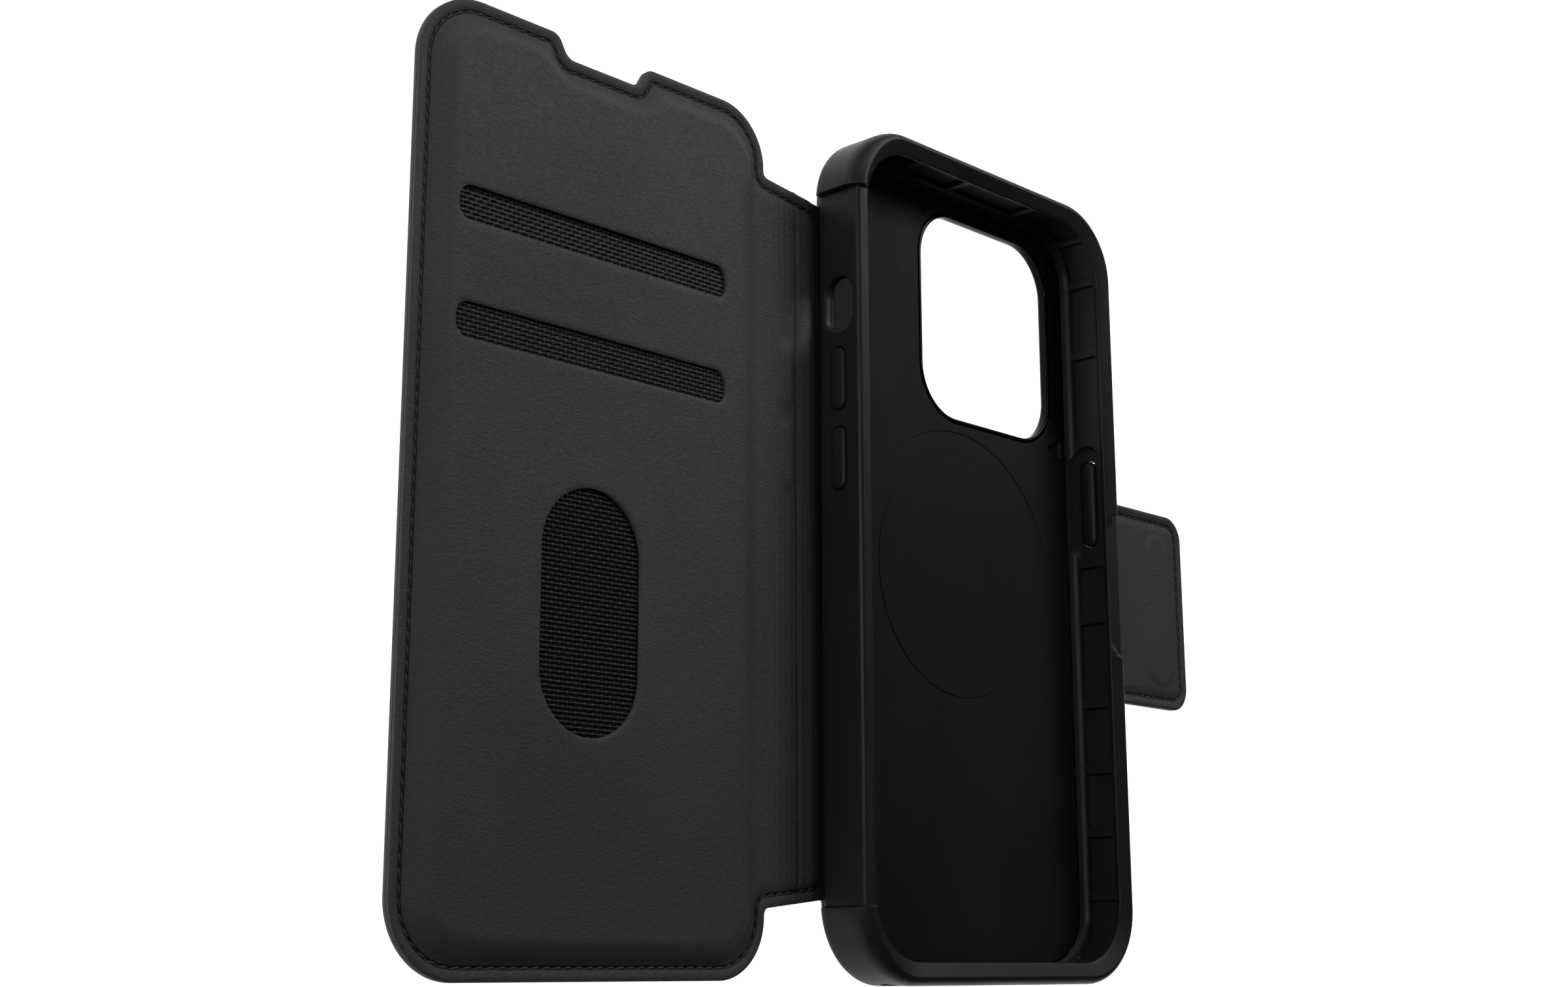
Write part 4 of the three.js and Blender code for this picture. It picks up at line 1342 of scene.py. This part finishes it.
def circle(radius, count):
    """A circle about the middle of the magnet ring."""
    a = np.arange(count) * 2 * math.pi / count
    return np.column_stack((radius * np.cos(a), RING["y"] + radius * np.sin(a)))


def plate_top(x, y):
    r = np.hypot(x, y - RING["y"])
    recess = smooth(r, RING["inner"] - 0.16, RING["inner"] + 0.08)
    recess = recess * (1 - smooth(r, RING["outer"] - 0.08, RING["outer"] + 0.16))
    edge = -rectangle_distance(x, y, 0, 0, *PLATE_SIZES)
    return 2.9 - 0.28 * recess - 0.05 * (1 - smooth(edge, 0, 2.5))


def plate_shadow(x, y, z):
    """Darker by the inner wall beside the camera opening and along the top."""
    beside = smooth(x, 28.6, 30.4) * smooth(y, 22, 34)
    return np.maximum(beside, smooth(y, 68.6, 70.2) * smooth(x, -12, 2))


def build_plate():
    loops = [rectangle(0, 0, *PLATE_SIZES, 0.9), camera_loop(1.05, 0.6)[::-1]]
    wide = net(-35, 35, -73, 73, 2.4)
    rad = np.hypot(wide[:, 0], wide[:, 1] - RING["y"])
    points = [wide[(np.abs(rad - RING["outer"]) > 1.2) & (np.abs(rad - RING["inner"]) > 1.2)]]
    for radius, side in ((RING["outer"], 1), (RING["inner"], -1)):
        for offset in (-0.5, -0.1, -0.04, 0.02, 0.08, 0.14, 0.22, 0.5, 0.9):
            points.append(circle(radius + side * offset, 300))
    borders = [inset(loop, reach) for loop in loops for reach in (0.22, 0.42)]
    inner = np.concatenate([keep_inside(np.concatenate(points), loops, 0.55), *borders])
    few = keep_inside(net(-35, 35, -73, 73, 5), loops, 1.5)
    plate = sheet(
        "back_plate_top", loops, (plate_top, flat_height(1.76)), 0.12, (inner, few), PLATE,
        {"groove_and_shade": plate_shadow}, 50,
    )
    for corners in DENTS:
        outline = rounded_path([(x, y, 0.25) for x, y in corners], 0.4)
        floor = outline.mean(axis=0)
        inner_loop = floor + (outline - floor) * 0.72
        loops = [level(inner_loop, 2.3), level(outline, 2.93), level(outline, 3.5)]
        apply_boolean(plate, rings("dent", loops, PLATE))
    shade(plate, 40)
    settle(plate, "shell", "shell_back_plate")


def shell_ring(name, loops, material, node):
    """A closed ring of loops on the shell."""
    settle(rings(name, loops, material, closed=True, angle=50), "shell", node)


def build_flange():
    """The plate's stepped rim, held under the foot of the bumper's wall."""
    shape = [(33.6, 1.78), (33.6, 2.46), (33.8, 2.5), (35.9, 2.5), (36.0, 2.42), (36.0, 1.78)]
    kinds, values = bumper_columns()
    loops = []
    for half_width, z in shape:
        sizes = [np.full(len(kinds), v) for v in (half_width, half_width + 38, half_width - 24.45)]
        loops.append(level(np.column_stack(ring_points(kinds, values, *sizes)), z))
    shell_ring("back_plate_flange", loops, PLATE, None)


def build_ring_cover():
    """The annulus over the ring of magnets, a tenth of a millimetre below the plate's face."""
    inner, outer = RING["inner"] - 0.1, RING["outer"] + 0.1
    profile = [(inner, 2.5), (inner, 2.78), (inner + 0.4, 2.79), (outer - 0.4, 2.79), (outer, 2.78)]
    profile.append((outer, 2.5))
    loops = [level(circle(radius, 240), z) for radius, z in profile]
    shell_ring("ring_cover_band", loops, PLATE, "ring_cover")


def build_trim():
    """Polished ring in the camera opening: flared inside, with a rolled bead at the plate."""
    shape = [
        (1.0, 1.4), (1.0, 2.7), (0.86, 2.86), (0.6, 2.93), (0.3, 2.93), (0.12, 2.88), (0.03, 2.76),
        (0.0, 2.5), (0.0, 1.9), (0.06, 1.3), (0.2, 0.95), (0.55, 0.62), (1.05, 0.36), (1.6, 0.16),
        (2.1, 0.06), (2.9, 0.05), (3.25, 0.1), (3.25, 0.3), (2.6, 0.55), (1.9, 1.0), (1.3, 1.25),
    ]
    loops = []
    for grow, z in shape:
        sizes = grown((*CAMERA["half"], CAMERA["corner"]), grow)
        loops.append(level(even_rectangle(*CAMERA["centre"], *sizes, 30), z))
    shell_ring("camera_trim_ring", loops, TRIM, "camera_trim")


build_plate()
build_flange()
build_ring_cover()
build_trim()


# ---- keys


def build_key(node, x_face, x_root, y, z, length, height, body, name):
    """A stadium key cap with a crowned face and a soft edge."""
    sign = 1 if x_face > x_root else -1
    reach = abs(x_face - x_root)
    steps = [
        (0.0, 0.5), (0.25, 0.12), (0.5, 0.0), (reach - 0.55, 0.0), (reach - 0.3, 0.06),
        (reach - 0.14, 0.16), (reach - 0.05, 0.3), (reach, 0.52), (reach + 0.03, 0.95),
    ]
    sections = [(x_root + sign * d, length - 2 * less, height - 2 * less) for d, less in steps]
    loops = stadiums(sections, lambda u, v, depth: (depth, y + u, z + v))
    settle(rings(name, loops, KEY, angle=45), body, node)


build_key("volume_up_key", -37.75, -35.75, 28.3, 6.5, 11.35, 3.25, "volume_up", "volume_up_cap")
build_key(
    "volume_down_key", -37.75, -35.75, 13.8, 6.5, 11.35, 3.25, "volume_down", "volume_down_cap"
)
build_key("power_key", 39.1, 35.75, 17.0, 7.1, 17.2, 3.2, "power", "power_cap")


# ---- carried-over CAD nodes


def finish_node(name, material):
    node = NODES[name]
    node.data.materials.clear()
    node.data.materials.append(material)


for name in NODES:
    if name.startswith("ring_magnet") or name in ("cover_catch_plate", "tab_magnet"):
        finish_node(name, STEEL)
finish_node("cover_stiffener_board", BOARD)
finish_node("shell_bonding_film", FILM)


# ---- floor and studio


def build_studio():
    mesh = bpy.data.meshes.new("floor")
    half, z = 6, -0.0003
    corners = [(-half, -half, z), (half, -half, z), (half, half, z), (-half, half, z)]
    mesh.from_pydata(corners, [], [(0, 1, 2, 3)])
    floor = link("floor", mesh)
    n = Nodes("floor_white")
    n.set(Base_Color=(0.85, 0.85, 0.85, 1), Roughness=0.9, Specular_IOR_Level=0.1)
    n.set(Emission_Color=(1, 1, 1, 1), Emission_Strength=1.0)
    mesh.materials.append(n.material)
    world = bpy.data.worlds.new("studio")
    bpy.context.scene.world = world
    world.use_nodes = True
    background = world.node_tree.nodes["Background"]
    background.inputs["Color"].default_value = (1, 1, 1, 1)
    background.inputs["Strength"].default_value = 0.08
    area_light("key_light", (0.42, 0.48, 0.5), (-0.02, 0, 0), (0.45, 0.35), 3.9)
    area_light("back_light", (-0.05, 0.42, 0.3), (-0.03, 0.02, 0), (0.6, 0.2), 1.0)
    area_light("side_light", (-0.9, 0.15, 0.12), (0, 0, 0.005), (0.12, 0.9), 7.6)
    bpy.context.scene.view_settings.view_transform = "Standard"


build_studio()
